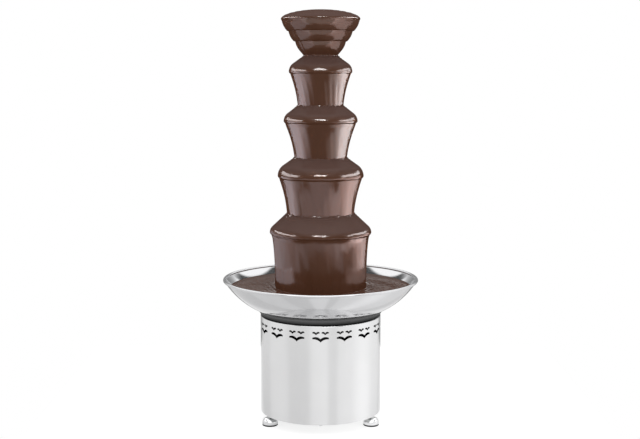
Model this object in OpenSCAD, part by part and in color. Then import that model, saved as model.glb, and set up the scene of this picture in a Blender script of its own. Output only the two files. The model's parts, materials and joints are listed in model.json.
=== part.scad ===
// Five-level chocolate fountain: a heated bowl on a drum base, a screw-fed tower of domed
// tiers and a stepped crown, standing on three levelling feet, with the chocolate running.
// Millimetres, +Z up, table at z = 0, tower axis on Z, front at -Y, controls at the back.

/* [Drum base] */
// Outer radius of the drum
base_r = 116; // [104:1:130]
// Height of the drum
base_h = 189; // [180:1:210]
// Sheet thickness of the drum
base_wall = 1.2; // [1:0.1:2]
// Height of the drum's underside above the table
base_lift = 19; // [17:0.5:24]
// Radius of the drum's rounded top edge
base_edge_r = 3; // [2.5:0.5:5]
// Width of the drum's turned-in flanges
flange_w = 14; // [13:0.5:16]
// Thickness of the bottom plate
plate_t = 1.5; // [1:0.1:3]

/* [Vents] */
// Number of vent motifs round the drum
vent_count = 16; // [8:1:18]
// Distance from the drum's top to the vents
vent_drop = 11.5; // [8:0.5:30]
// Width of the large gull of a motif
gull_w = 30.5; // [20:0.5:34]
// Height of the large gull
gull_h = 10.2; // [7:0.2:12]
// Width of each small gull
small_gull_w = 13.4; // [9:0.2:14]
// Height of each small gull
small_gull_h = 7.2; // [5:0.2:9]
// Gap between the small gulls and the large one
gull_gap = 2.6; // [2:0.2:6]

/* [Levelling feet] */
// Angle of each front foot from the front
foot_spread = 63; // [56:1:70]
// Radius of a foot's cup
cup_r = 14.8; // [12.5:0.1:17]
// Height of the cup above its pad
cup_h = 12; // [10:0.5:12.5]
// Sheet thickness of the cup
cup_wall = 1.2; // [0.8:0.1:2]
// Height of the rubber pad below the cup
pad_h = 3; // [2:0.5:4]
// Radius of the threaded stud
stud_r = 3; // [2.5:0.25:3.5]
// Length of stud above the drum's underside
stud_len = 22; // [20:1:27]

/* [Bowl] */
// Radius of the bowl's flat floor
bowl_floor_r = 61.5; // [60:0.5:70]
// Radius of the bowl at the middle of its rim bead
bowl_rim_r = 185; // [170:0.5:205]
// Height of the rim bead above the bowl's floor, middle to middle
bowl_depth = 68.7; // [62:0.1:76]
// Radius of the rolled rim bead
bowl_bead_r = 2.6; // [2:0.1:3.5]
// Sheet thickness of the bowl
bowl_wall = 1.2; // [1:0.1:2]
// Height of the gasket at the drum's wall
gasket_h = 8.55; // [7:0.05:10]
// Flare of the gasket beyond the drum
gasket_flare = 5; // [3:0.5:7]

/* [Tower] */
// Outer radius of the auger tube
tube_r = 30; // [28:0.5:31]
// Wall of the auger tube
tube_wall = 1.5; // [1:0.1:2.5]
// Wall of the tier sleeves
sleeve_wall = 1.5; // [1:0.1:2]
// Width of the tube's foot flange
tube_foot_w = 12; // [11:0.5:16]
// Thickness of the tube's foot flange
tube_foot_t = 3; // [2:0.5:5]
// Height of the intake arches at the tube's foot
intake_h = 34; // [24:1:44]
// Width of the intake arches
intake_w = 30; // [20:1:36]
// Height above the bowl's floor of the ring that carries the lowest tier
stop_ring_rise = 144.8; // [128:0.2:164]

/* [Tiers] */
// Sheet thickness of the tiers and the crown
tier_wall = 1.2; // [0.8:0.1:1.8]
// Lip radius of the first tier
tier_1_r = 57.9; // [54:0.5:64]
// Height of the first tier's lip above the second's
tier_1_rise = 93; // [82:0.5:104]
// Slope of the first tier
tier_1_slope = 35.3; // [30:0.5:42]
// Edge radius of the first tier
tier_1_edge = 17.3; // [10:0.5:20]
// Lip radius of the second tier
tier_2_r = 68; // [65:0.5:76]
// Height of the second tier's lip above the third's
tier_2_rise = 104.5; // [94:0.5:116]
// Slope of the second tier
tier_2_slope = 37.7; // [32:0.5:44]
// Edge radius of the second tier
tier_2_edge = 16.5; // [10:0.5:22]
// Lip radius of the third tier
tier_3_r = 79.9; // [76:0.5:90]
// Height of the third tier's lip above the fourth's
tier_3_rise = 108; // [96:0.5:120]
// Slope of the third tier
tier_3_slope = 35.2; // [30:0.5:42]
// Edge radius of the third tier
tier_3_edge = 22.8; // [14:0.5:26]
// Lip radius of the fourth tier
tier_4_r = 95.2; // [92:0.5:104]
// Height of the fourth tier's lip above the ring that carries it
tier_4_rise = 14.5; // [10:0.5:26]
// Slope of the fourth tier
tier_4_slope = 43; // [36:0.5:48]
// Edge radius of the fourth tier
tier_4_edge = 13; // [10:0.5:20]

/* [Crown] */
// Radius of the crown's rim
crown_rim_r = 72.8; // [72:0.2:78]
// Height of the crown's cone between its collar and its lowest band
crown_neck_h = 7.2; // [4:0.1:10]
// Height of each stepped band
band_h = 19.4; // [17:0.2:21]
// Taper of each band
band_taper = 10.2; // [9:0.2:11]
// Step between two bands
band_step = 2.6; // [1.6:0.2:2.8]
// Depth of the crown's spigot in the tube
spigot_h = 12; // [8:1:20]

/* [Chocolate] */
// Depth of chocolate in the bowl
pool_depth = 54; // [44:1:58]
// Thickness of the chocolate on the tiers and the crown
coat_t = 2.2; // [1.6:0.1:3]
// Thickness of the falling curtains
sheet_t = 2.2; // [1.6:0.1:3]
// Rise of the chocolate above the crown's rim
crown_rise = 18; // [14:1:26]
// Radius of the first curtain where it lands
curtain_1_foot = 43.2; // [40:0.2:50]
// Radius of the second curtain where it lands
curtain_2_foot = 50; // [46:0.2:58]
// Radius of the third curtain where it lands
curtain_3_foot = 64.4; // [60:0.2:72]
// Radius of the fourth curtain where it lands
curtain_4_foot = 87.6; // [84:0.2:94]

/* [Auger and drive] */
// Pitch of the auger's flight
auger_pitch = 60; // [44:1:80]
// Thickness of the flight
flight_t = 2.6; // [2:0.2:5]
// Radius of the auger's core
core_r = 9; // [8.5:0.5:12]
// Clearance between the flight and the tube
flight_gap = 1.2; // [0.8:0.1:2.5]
// Radius of the drive shaft
shaft_r = 6; // [5:0.25:6.5]
// Width of the gearbox across its long sides
gearbox_l = 80; // [70:1:84]
// Width of the gearbox across its short sides
gearbox_w = 66; // [60:1:70]
// Height of the gearbox
gearbox_h = 40; // [34:1:48]
// Distance from the bowl's underside to the gearbox
gearbox_drop = 24; // [22:0.5:30]
// Radius of the motor
motor_r = 34; // [28:0.5:36]
// Height of the motor
motor_h = 78; // [60:1:86]
// Radius of the deck that carries the gearbox
deck_r = 72; // [66:1:90]
// Thickness of the deck
deck_t = 3; // [2:0.5:5]
// Distance of the tie rods inside the heater plate's edge
rod_inset = 5; // [4.5:0.25:7]
// Radius of a tie rod
rod_r = 3; // [2.5:0.25:3]

/* [Heater] */
// Radius of the heater plate
heater_r = 60; // [55:0.5:64]
// Thickness of the heater plate
heater_t = 8; // [7:0.5:10]
// Radius of the heating element's ring
element_ring_r = 36; // [32:0.5:38]
// Radius of the heating element's tube
element_r = 4; // [3:0.25:4.5]

/* [Controls] */
// Height of the switches and the knob above the drum's underside
control_z = 100; // [95:1:112]
// Angle between the knob and each switch
control_angle = 26; // [22:1:40]
// Radius of the thermostat knob
knob_r = 17; // [14:0.5:20]
// Height of the thermostat knob
knob_h = 16; // [14:0.5:22]
// Radius of the thermostat's spindle
spindle_r = 3; // [2.5:0.25:3.5]
// Width of a rocker
rocker_w = 10.4; // [9:0.2:14]
// Length of a rocker
rocker_l = 16.4; // [14:0.2:20]
// Tilt of a rocker each way
rocker_tilt = 8; // [5:0.5:10]
// Height of the pilot lamp above the switches
lamp_rise = 28; // [24:1:30]
// Radius of the pilot lamp's barrel
lamp_r = 5; // [4:0.25:6]
// Height of the cable gland above the top of the rear stud
gland_rise = 20; // [16:1:26]
// Radius of the cable gland's bore
gland_bore_r = 4.25; // [3:0.25:5]

/* [Hidden] */
$fn = 96;

// Colours
steel = [0.80, 0.80, 0.81];
bright_steel = [0.88, 0.88, 0.89];
dark_steel = [0.45, 0.46, 0.48];
zinc = [0.66, 0.67, 0.66];
alloy = [0.70, 0.71, 0.72];
rubber = [0.09, 0.09, 0.09];
black_plastic = [0.06, 0.06, 0.065];
white_plastic = [0.85, 0.84, 0.80];
amber = [0.85, 0.42, 0.06];
chocolate = [0.29, 0.18, 0.13];

// Clearances
seat_gap = 0.2;
running_gap = 0.05;
hole_gap = 0.3;
join = 0.01;

// Heights of the main levels
base_top = base_lift + base_h;
flange_z = base_lift + plate_t;
bowl_out = bowl_rim_r - bowl_floor_r;
bowl_arc_r = (pow(bowl_depth, 2) + pow(bowl_out, 2)) / (2 * bowl_depth) + bowl_wall / 2;
bowl_z = base_top + gasket_h - sag(base_r - bowl_floor_r, bowl_arc_r);
bowl_floor_z = bowl_z + bowl_wall;
bowl_axis_z = bowl_z + bowl_arc_r;
rim_z = bowl_z + bowl_wall / 2 + bowl_depth;
pool_z = bowl_floor_z + pool_depth;

// Hexagon nuts and screw heads, as ratios of the thread radius
nut_corner = 1.925;
nut_height = 1.7;
head_ratio = 1.8;
head_height = 1.1;

// Feet
nut_room = 0.5;
foot_ring_r = base_r - base_wall - nut_corner * stud_r - nut_room;
foot_angles = [-90 - foot_spread, -90 + foot_spread, 90];
hex_h = base_lift - pad_h - cup_h;
cup_flat_r = nut_corner * stud_r + 1;
cup_skirt_h = 2.5;
stud_head_r = 2 * stud_r;
stud_head_h = 2;
pad_plug_h = 4;
pad_chamfer = 0.8;
dome_steps = 10;
screw_r = 2;
screw_angles = [-90, 90 - (180 - foot_spread) / 2, 90 + (180 - foot_spread) / 2];

// Vent motif: points of a gull as shares of its width and height
gull_hump = 0.27;
gull_notch = 0.4;
gull_tip = 0.15;
gull_end = 0.43;
gull_belly_x = 0.215;
gull_belly_y = 0.55;
vent_depth = 10;

// Steps round the bowl wall's full arc
bowl_steps = 240;

// Gasket
gasket_reach = 1;
gasket_over = 20;

// Bowl hub, bush and seal
hub_r = 2 * shaft_r;
hub_flange_r = hub_r + 4;
hub_flange_t = 3;
hub_wall = 3;
hub_lip = 1.5;
hub_drop = 12;
hub_nut_h = 6;
hub_nut_r = hub_r + 6;
seal_h = 4;
pin_r = 3;
pin_h = 8;
pin_ring_r = tube_r + tube_foot_w / 2;
pin_angles = [0, 120, 240];

// Heater
heater_hole_r = hub_nut_r + 3;
element_gap_angle = 24;
element_turn = 45;
element_leg = 9;
element_leg_in = 6;
element_leg_r = 0.7 * element_r;
cutout_r = 8;
cutout_h = 7;
cutout_ring_r = element_ring_r + element_r + cutout_r + 1.5;
cutout_angle = 150;
tab_w = 6.3;
tab_t = 0.8;
tab_l = 7;

// Drive
rod_angles = [0, 120, 240];
rod_ring_r = heater_r - rod_inset;
rod_tail = 5.5;
nut_h = nut_height * rod_r;
gearbox_top = bowl_z - gearbox_drop;
deck_top = gearbox_top - gearbox_h;
gearbox_edge = 4;
gearbox_boss_r = 18;
gearbox_boss_h = 5;
gearbox_socket = 16;
gearbox_screw_in = 5.5;
gearbox_screw_x = gearbox_l / 2 - gearbox_screw_in;
gearbox_screw_y = gearbox_w / 2 - gearbox_screw_in;
gearbox_screw_depth = 9;
motor_cap_h = 14;
motor_step = 2;
motor_rib_count = 12;
motor_rib_r = 1.6;
shaft_low_z = gearbox_top + gearbox_boss_h - gearbox_socket;
drive_z = bowl_floor_z + hub_flange_t + 3;
drive_hex_r = shaft_r - 0.3;
drive_hex_h = 22;
drive_hex_gap = 0.15;
block_l = 46;
block_w = 20;
block_h = 16;
block_in = 26.8;
block_y = base_r - base_wall - block_w / 2 - block_in;
block_ways = 3;
block_way_r = 4;

// Tower: radii of the tube, the sleeves and the auger
tube_in_r = tube_r - tube_wall;
fit_r = tube_r + seat_gap;
sleeve_r = fit_r + sleeve_wall;
stop_ring_r = sleeve_r + 2;
stop_ring_z = bowl_floor_z + stop_ring_rise;
stop_ring_h = 4;
flight_r = tube_in_r - flight_gap;
intake_angles = [60, 180, 300];
intake_sill = 4;

// Tiers, as lists from the top down
tier_r = [tier_1_r, tier_2_r, tier_3_r, tier_4_r];
tier_4_z = stop_ring_z + tier_4_rise;
tier_3_z = tier_4_z + tier_3_rise;
tier_2_z = tier_3_z + tier_2_rise;
tier_1_z = tier_2_z + tier_1_rise;
tier_z = [tier_1_z, tier_2_z, tier_3_z, tier_4_z];
tier_slope = [tier_1_slope, tier_2_slope, tier_3_slope, tier_4_slope];
tier_edge = [tier_1_edge, tier_2_edge, tier_3_edge, tier_4_edge];
curtain_foot = [curtain_1_foot, curtain_2_foot, curtain_3_foot, curtain_4_foot];
last_tier = len(tier_r) - 1;
lip_h = 1.5;
lip_round = 6;
lip_under = 50;
curtain_in = 4.8;
curtain_drop = 10;
arc_steps = 8;

// Crown
bands = 3;
collar_h = 3.5;
crown_seat_z = cone_z(0, sleeve_r, 0);
collar_top = crown_seat_z + collar_h;
crown_rim_z = collar_top + crown_neck_h + bands * band_h;
tube_top = collar_top - seat_gap;
spigot_r = tube_in_r - seat_gap;
spigot_in_r = spigot_r - tier_wall;
crown_dome_z = crown_rim_z + 1.2;
crown_dome_steps = 14;

// Auger
flight_steps = 24;
flight_z = drive_z + 4;
flight_top = collar_top - spigot_h - 3;
core_top = collar_top - 4;
flight_root = core_r - 1;

// Controls
control_level = base_lift + control_z;
bezel_side = 2.2;
bezel_t = 1.8;
switch_wall = 1.3;
switch_depth = 22;
pocket_gap = 0.5;
pocket_depth = 7;
rocker_axis = 0.4;
rocker_h = 3;
rocker_dip = 1.2;
rocker_under = 1.6;
rocker_keel = 3.2;
trunnion_r = 1.2;
trunnion_l = 0.8;
thermostat_r = 15;
thermostat_h = 18;
bush_r = spindle_r + 2;
bush_out = 4;
thermostat_nut_r = bush_r + 3.4;
thermostat_nut_h = 2.4;
knob_seat = 1.2;
knob_skirt_h = 3;
knob_grip_r = knob_r - 3.5;
knob_flutes = 12;
knob_flute_r = 2.2;
knob_recess_h = 4;
knob_recess_r = thermostat_nut_r + 1;
knob_bore_h = 7;
pointer_w = 2;
pointer_h = 0.8;
spindle_in = 10;
lamp_flange_r = lamp_r + 1.6;
lamp_flange_t = 1.3;
lamp_depth = 14;
lamp_bore_r = lamp_r - 1.2;
lens_r = lamp_r - 0.5;
lens_h = 1.6;
lens_ball_r = lens_r * 1.3;
gland_level = base_lift + stud_len + gland_rise;
gland_thread_r = gland_bore_r + 3.6;
gland_hex_r = gland_thread_r + 4.2;
gland_hex_h = 5;
gland_cap_r = gland_hex_r - 2;
gland_nose_r = gland_bore_r + 2.4;
gland_cap_h = 15;
gland_tail = 14;
gland_nut_h = 5;

// Depth of a curve of radius r at a distance x from its middle
function sag(x, r) = r - sqrt(r * r - x * x);

// Points along an arc in the radius-height plane
function arc(c, r, a, b, n) = [for (i = [0 : n]) let (t = a + (b - a) * i / n) c + r * [cos(t), sin(t)]];

// Circle through three points: centre x, centre y, radius
function circle_through(a, b, c) =
    let (d = 2 * (a.x * (b.y - c.y) + b.x * (c.y - a.y) + c.x * (a.y - b.y)))
    let (x = (a * a * (b.y - c.y) + b * b * (c.y - a.y) + c * c * (a.y - b.y)) / d)
    let (y = (a * a * (c.x - b.x) + b * b * (a.x - c.x) + c * c * (b.x - a.x)) / d)
    [x, y, norm([x, y] - a)];

// Centre of a tier's edge arc, and the height of its cone at a radius, g above the metal
function edge_centre(k) = [tier_r[k] - tier_edge[k], tier_z[k]];
function cone_z(k, r, g) =
    let (s = tier_slope[k])
    let (p = edge_centre(k) + (tier_edge[k] + g) * [sin(s), cos(s)])
    p.y + (p.x - r) * tan(s);

// Outline of a tier's dome from radius r out to its lip, g above the metal
function dome_line(k, r, g) = concat(
    [[r, cone_z(k, r, g)]],
    arc(edge_centre(k), tier_edge[k] + g, 90 - tier_slope[k], 0, arc_steps)
);

// Radius of a crown band at its top and bottom, and height of the band's top
function band_top_r(k) = crown_rim_r - k * (band_taper + band_step);
function band_low_r(k) = band_top_r(k) - band_taper;
function band_z(k) = crown_rim_z - k * band_h;

// Outside of the crown's bands from the rim down, g outside the metal
function band_line(g) = [
    for (k = [0 : bands - 1])
    each [
        [band_top_r(k) + g, band_z(k) - (k == 0 ? 0 : g)],
        [band_low_r(k) + g, band_z(k + 1) - g]
    ]
];

// Inside of the crown's bands from the rim down, g inside the metal
function band_bore(g) = [
    for (k = [0 : bands - 1])
    each [
        [band_top_r(k) - tier_wall - g, band_z(k) + (k == 0 ? g : tier_wall + g)],
        [band_low_r(k) - tier_wall - g, band_z(k + 1) + tier_wall + g]
    ]
];

function reversed(v) = [for (i = [len(v) - 1 : -1 : 0]) v[i]];

// Placing helpers
module at_foot(i) {
    rotate([0, 0, foot_angles[i]])
        translate([foot_ring_r, 0, 0])
            children();
}

module on_ring(angles, r, z) {
    for (a = angles)
        rotate([0, 0, a])
            translate([r, 0, z])
                children();
}

// On the drum's surface: x along the drum, y up, z outwards; az is the angle from the back
module on_drum(az, z) {
    rotate([0, 0, 90 + az])
        translate([base_r, 0, z])
            rotate([90, 0, 90])
                children();
}

module hex_nut(bore, corner, h) {
    difference() {
        cylinder(r = corner, h = h, $fn = 6);
        translate([0, 0, -1])
            cylinder(r = bore, h = h + 2);
    }
}

module hex_at(r, h, z) {
    translate([0, 0, z])
        cylinder(r = r, h = h, $fn = 6);
}

// Drum base
module drum_outline(r, low, top, edge) {
    translate([0, low])
        square([r, top - edge - low]);
    translate([0, low])
        square([r - edge, top - low]);
    translate([r - edge, top - edge])
        circle(edge);
}

module drum_profile() {
    difference() {
        drum_outline(base_r, base_lift, base_top, base_edge_r);
        drum_outline(base_r - base_wall, base_lift - 1, base_top - base_wall, base_edge_r - base_wall);
        translate([-1, base_lift])
            square([base_r - flange_w + 1, base_h + 1]);
    }
    translate([base_r - base_wall - flange_w, flange_z])
        square([flange_w + base_wall / 2, base_wall]);
}

module gull(w, h) {
    back = circle_through([0, -gull_notch * h], [gull_hump * w, 0], [w / 2, -gull_tip * h]);
    belly = circle_through([0, -h], [gull_belly_x * w, -gull_belly_y * h], [w / 2, -gull_end * h]);
    for (side = [0, 1])
        mirror([side, 0])
            intersection() {
                difference() {
                    translate([back.x, back.y])
                        circle(back.z);
                    translate([belly.x, belly.y])
                        circle(belly.z);
                }
                translate([-join, -2 * h])
                    square([w / 2 + join, 3 * h]);
            }
}

module vent_motif() {
    for (side = [-1, 1])
        translate([side * (gull_w - small_gull_w) / 2, 0])
            gull(small_gull_w, small_gull_h);
    translate([0, -small_gull_h - gull_gap])
        gull(gull_w, gull_h);
}

module base_housing() {
    color(steel)
    difference() {
        rotate_extrude()
            drum_profile();
        for (i = [0 : vent_count - 1])
            on_drum(180 + i * 360 / vent_count, base_top - vent_drop)
                linear_extrude(vent_depth, center = true)
                    vent_motif();
        on_ring(foot_angles, foot_ring_r, base_lift)
            cylinder(r = stud_r + hole_gap, h = 4 * base_wall);
        on_ring(screw_angles, foot_ring_r, base_lift)
            cylinder(r = screw_r + running_gap, h = 4 * base_wall);
        for (az = [-control_angle, control_angle])
            on_drum(az, control_level)
                switch_window();
        on_drum(0, control_level)
            cylinder(r = bush_r + hole_gap, h = vent_depth, center = true);
        on_drum(control_angle, control_level + lamp_rise)
            cylinder(r = lamp_r + hole_gap, h = vent_depth, center = true);
        on_drum(0, gland_level)
            cylinder(r = gland_thread_r + hole_gap, h = vent_depth, center = true);
    }
}

module bottom_plate() {
    color(zinc)
    difference() {
        translate([0, 0, base_lift])
            cylinder(r = base_r - base_wall - seat_gap, h = plate_t);
        on_ring(foot_angles, foot_ring_r, base_lift - 1)
            cylinder(r = stud_r + hole_gap, h = plate_t + 2);
        on_ring(screw_angles, foot_ring_r, base_lift - 1)
            cylinder(r = screw_r + running_gap, h = plate_t + 2);
        on_ring(rod_angles, rod_ring_r, base_lift - 1)
            cylinder(r = rod_r + hole_gap, h = plate_t + 2);
    }
}

module bottom_screws() {
    color(bright_steel)
    on_ring(screw_angles, foot_ring_r, base_lift) {
        cylinder(r = screw_r, h = plate_t + 2 * base_wall + screw_r);
        translate([0, 0, -head_height * screw_r])
            cylinder(r = head_ratio * screw_r, h = head_height * screw_r);
    }
}

module foot_nuts() {
    color(zinc)
    on_ring(foot_angles, foot_ring_r, flange_z + base_wall)
        hex_nut(stud_r + running_gap, nut_corner * stud_r, nut_height * stud_r);
}

// Levelling feet
module cup_outline(inset) {
    dome_h = cup_h - cup_skirt_h;
    dome = [
        for (i = [0 : dome_steps])
        let (t = 90 * i / dome_steps)
        [cup_flat_r + (cup_r - cup_flat_r) * cos(t) - inset * cos(t), cup_skirt_h + (dome_h - inset) * sin(t)]
    ];
    translate([0, pad_h])
        polygon(concat([[0, 0], [cup_r - inset, 0]], dome, [[0, cup_h - inset]]));
}

module foot_cup() {
    color(bright_steel)
    difference() {
        rotate_extrude()
            difference() {
                cup_outline(0);
                translate([0, -join])
                    cup_outline(cup_wall);
            }
        translate([0, 0, pad_h + cup_h / 2])
            cylinder(r = stud_r + running_gap, h = cup_h);
    }
}

module foot_pad() {
    color(rubber)
    rotate_extrude()
        polygon([
            [0, 0], [cup_r - pad_chamfer, 0], [cup_r, pad_chamfer], [cup_r, pad_h],
            [cup_r - cup_wall - seat_gap, pad_h],
            [cup_r - cup_wall - seat_gap, pad_h + cup_skirt_h],
            [cup_flat_r, pad_h + pad_plug_h], [0, pad_h + pad_plug_h]
        ]);
}

module foot_stud() {
    cup_top = pad_h + cup_h;
    head_top = cup_top - cup_wall - seat_gap;
    color(dark_steel) {
        translate([0, 0, head_top - stud_head_h])
            cylinder(r = stud_head_r, h = stud_head_h);
        translate([0, 0, head_top - join])
            cylinder(r = stud_r, h = base_lift + stud_len - head_top + join);
        hex_at(nut_corner * stud_r, hex_h, cup_top);
    }
}

module left_foot_cup() {
    at_foot(0)
        foot_cup();
}

module left_foot_pad() {
    at_foot(0)
        foot_pad();
}

module left_foot_stud() {
    at_foot(0)
        foot_stud();
}

module right_foot_cup() {
    at_foot(1)
        foot_cup();
}

module right_foot_pad() {
    at_foot(1)
        foot_pad();
}

module right_foot_stud() {
    at_foot(1)
        foot_stud();
}

module rear_foot_cup() {
    at_foot(2)
        foot_cup();
}

module rear_foot_pad() {
    at_foot(2)
        foot_pad();
}

module rear_foot_stud() {
    at_foot(2)
        foot_stud();
}

// Bowl and gasket
module bowl_circle(inset) {
    translate([bowl_floor_r, bowl_axis_z])
        circle(bowl_arc_r - inset, $fn = bowl_steps);
}

module bowl_gasket() {
    color(rubber)
    rotate_extrude()
        difference() {
            polygon([
                [base_r - flange_w + gasket_reach, base_top],
                [base_r - base_edge_r / 2, base_top],
                [base_r + gasket_flare, base_top + gasket_over / 2],
                [base_r + 1.4 * gasket_flare, base_top + gasket_over],
                [base_r - flange_w + gasket_reach, base_top + gasket_over]
            ]);
            bowl_circle(-seat_gap);
        }
}

module bowl() {
    color(bright_steel)
    rotate_extrude() {
        intersection() {
            difference() {
                bowl_circle(0);
                bowl_circle(bowl_wall);
            }
            translate([bowl_floor_r - join, bowl_z - 1])
                square([bowl_rim_r, rim_z - bowl_z + 1]);
        }
        translate([hub_r + hole_gap, bowl_z])
            square([bowl_floor_r - hub_r - hole_gap, bowl_wall]);
        translate([bowl_rim_r, rim_z])
            circle(bowl_bead_r);
    }
}

module locating_pins() {
    color(steel)
    on_ring(pin_angles, pin_ring_r, bowl_floor_z)
        cylinder(r = pin_r, h = pin_h);
}

// Heater under the bowl
module heater_plate() {
    color(alloy)
    difference() {
        translate([0, 0, bowl_z - heater_t])
            cylinder(r = heater_r, h = heater_t);
        translate([0, 0, bowl_z - heater_t - 1])
            cylinder(r = heater_hole_r, h = heater_t + 2);
        on_ring(rod_angles, rod_ring_r, bowl_z - heater_t - 1)
            cylinder(r = rod_r + hole_gap, h = heater_t + 2);
        translate([0, 0, bowl_z - heater_t])
            rotate_extrude()
                translate([element_ring_r, 0])
                    circle(element_r + running_gap);
    }
}

module heating_element() {
    color(dark_steel)
    translate([0, 0, bowl_z - heater_t])
        rotate([0, 0, element_turn + element_gap_angle / 2]) {
            rotate_extrude(angle = 360 - element_gap_angle)
                translate([element_ring_r, 0])
                    circle(element_r);
            for (a = [element_leg_in, -element_gap_angle - element_leg_in])
                rotate([0, 0, a])
                    translate([element_ring_r, 0, -element_leg])
                        cylinder(r = element_leg_r, h = element_leg);
        }
}

module thermal_cutout() {
    color(black_plastic)
    rotate([0, 0, cutout_angle])
        translate([cutout_ring_r, 0, bowl_z - heater_t - cutout_h]) {
            cylinder(r = cutout_r, h = cutout_h);
            for (side = [-1, 1])
                translate([side * cutout_r / 2 - tab_t / 2, -tab_w / 2, -tab_l])
                    cube([tab_t, tab_w, tab_l + join]);
        }
}

// Shaft passage through the bowl
module seal_housing() {
    color(steel)
    rotate_extrude()
        polygon([
            [hub_r - hub_wall, bowl_floor_z + hub_flange_t], [hub_flange_r, bowl_floor_z + hub_flange_t],
            [hub_flange_r, bowl_floor_z], [hub_r, bowl_floor_z], [hub_r, bowl_z - hub_drop],
            [shaft_r + hub_lip, bowl_z - hub_drop], [shaft_r + hub_lip, bowl_z - hub_drop + hub_lip],
            [hub_r - hub_wall, bowl_z - hub_drop + hub_lip]
        ]);
}

module hub_nut() {
    color(zinc)
    translate([0, 0, bowl_z - hub_nut_h])
        hex_nut(hub_r + running_gap, hub_nut_r, hub_nut_h);
}

module shaft_ring(low, h) {
    translate([0, 0, low])
        difference() {
            cylinder(r = hub_r - hub_wall - running_gap, h = h);
            translate([0, 0, -1])
                cylinder(r = shaft_r + running_gap, h = h + 2);
        }
}

module shaft_bush() {
    color(white_plastic)
    shaft_ring(bowl_z - hub_drop + hub_lip, bowl_wall + hub_flange_t + hub_drop - hub_lip - seal_h);
}

module shaft_seal() {
    color(rubber)
    shaft_ring(bowl_floor_z + hub_flange_t - seal_h, seal_h);
}

// Motor frame
module tie_rods() {
    color(zinc)
    on_ring(rod_angles, rod_ring_r, base_lift - rod_tail)
        cylinder(r = rod_r, h = bowl_z - base_lift + rod_tail);
}

module tie_rod_nuts() {
    levels = [base_lift - nut_h, deck_top - deck_t - nut_h, deck_top, bowl_z - heater_t - nut_h];
    color(zinc)
    for (z = levels)
        on_ring(rod_angles, rod_ring_r, z)
            hex_nut(rod_r + running_gap, nut_corner * rod_r, nut_h);
}

module gearbox_screw_spots(z) {
    for (x = [-1, 1], y = [-1, 1])
        translate([x * gearbox_screw_x, y * gearbox_screw_y, z])
            children();
}

module motor_deck() {
    color(zinc)
    difference() {
        translate([0, 0, deck_top - deck_t])
            cylinder(r = deck_r, h = deck_t);
        translate([0, 0, deck_top - deck_t - 1])
            cylinder(r = motor_r + hole_gap, h = deck_t + 2);
        on_ring(rod_angles, rod_ring_r, deck_top - deck_t - 1)
            cylinder(r = rod_r + hole_gap, h = deck_t + 2);
        gearbox_screw_spots(deck_top - deck_t - 1)
            cylinder(r = screw_r + hole_gap, h = deck_t + 2);
    }
}

module gearbox() {
    color(alloy)
    difference() {
        union() {
            translate([0, 0, deck_top])
                linear_extrude(gearbox_h)
                    for (x = [-1, 1], y = [-1, 1])
                        gearbox_quarter(x, y);
            translate([0, 0, gearbox_top - join])
                cylinder(r = gearbox_boss_r, h = gearbox_boss_h + join);
        }
        translate([0, 0, shaft_low_z - 1])
            cylinder(r = shaft_r + running_gap, h = gearbox_socket + 2);
        gearbox_screw_spots(deck_top - 1)
            cylinder(r = screw_r + running_gap, h = gearbox_screw_depth + 2);
    }
}

module gearbox_quarter(x, y) {
    mirror([x < 0 ? 1 : 0, 0])
        mirror([0, y < 0 ? 1 : 0]) {
            translate([-join, -join])
                square([gearbox_l / 2 - gearbox_edge + join, gearbox_w / 2 + join]);
            translate([-join, -join])
                square([gearbox_l / 2 + join, gearbox_w / 2 - gearbox_edge + join]);
            translate([gearbox_l / 2 - gearbox_edge, gearbox_w / 2 - gearbox_edge])
                circle(gearbox_edge);
        }
}

module gearbox_screws() {
    color(bright_steel)
    gearbox_screw_spots(deck_top - deck_t) {
        cylinder(r = screw_r, h = deck_t + gearbox_screw_depth);
        translate([0, 0, -head_height * screw_r])
            cylinder(r = head_ratio * screw_r, h = head_height * screw_r);
    }
}

module motor() {
    low = deck_top - motor_h;
    color(dark_steel)
    difference() {
        union() {
            translate([0, 0, low])
                cylinder(r = motor_r - motor_step, h = motor_h);
            translate([0, 0, low + motor_step])
                cylinder(r = motor_r, h = motor_cap_h);
            translate([0, 0, deck_top - motor_cap_h])
                cylinder(r = motor_r, h = motor_cap_h);
        }
        on_ring([for (i = [1 : motor_rib_count]) i * 360 / motor_rib_count], motor_r, low - 1)
            cylinder(r = motor_rib_r, h = motor_h - motor_cap_h);
    }
}

module terminal_block() {
    pitch = block_l / block_ways;
    color(white_plastic)
    difference() {
        translate([-block_l / 2, block_y - block_w / 2, flange_z])
            cube([block_l, block_w, block_h]);
        for (i = [0 : block_ways - 1])
            translate([(i - (block_ways - 1) / 2) * pitch, block_y, flange_z + block_h / 2])
                cylinder(r = block_way_r, h = block_h);
    }
}

// Drive shaft and auger
module drive_shaft() {
    color(bright_steel) {
        translate([0, 0, shaft_low_z])
            cylinder(r = shaft_r, h = drive_z - shaft_low_z);
        hex_at(drive_hex_r, drive_hex_h + join, drive_z - join);
    }
}

module flight() {
    turn = 360 / flight_steps;
    rise = auger_pitch / flight_steps;
    steps = floor((flight_top - flight_t - flight_z) / rise);
    points = [
        for (i = [0 : steps])
        for (q = [[flight_root, 0], [flight_r, 0], [flight_r, flight_t], [flight_root, flight_t]])
        [q.x * cos(i * turn), q.x * sin(i * turn), flight_z + i * rise + q.y]
    ];
    sides = [
        for (i = [0 : steps - 1])
        for (j = [0 : 3])
        let (a = 4 * i + j, b = 4 * i + (j + 1) % 4)
        each [[a, b + 4, a + 4], [a, b, b + 4]]
    ];
    last = 4 * steps;
    ends = [[0, 2, 1], [0, 3, 2], [last, last + 1, last + 2], [last, last + 2, last + 3]];
    polyhedron(points, concat(sides, ends));
}

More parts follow.
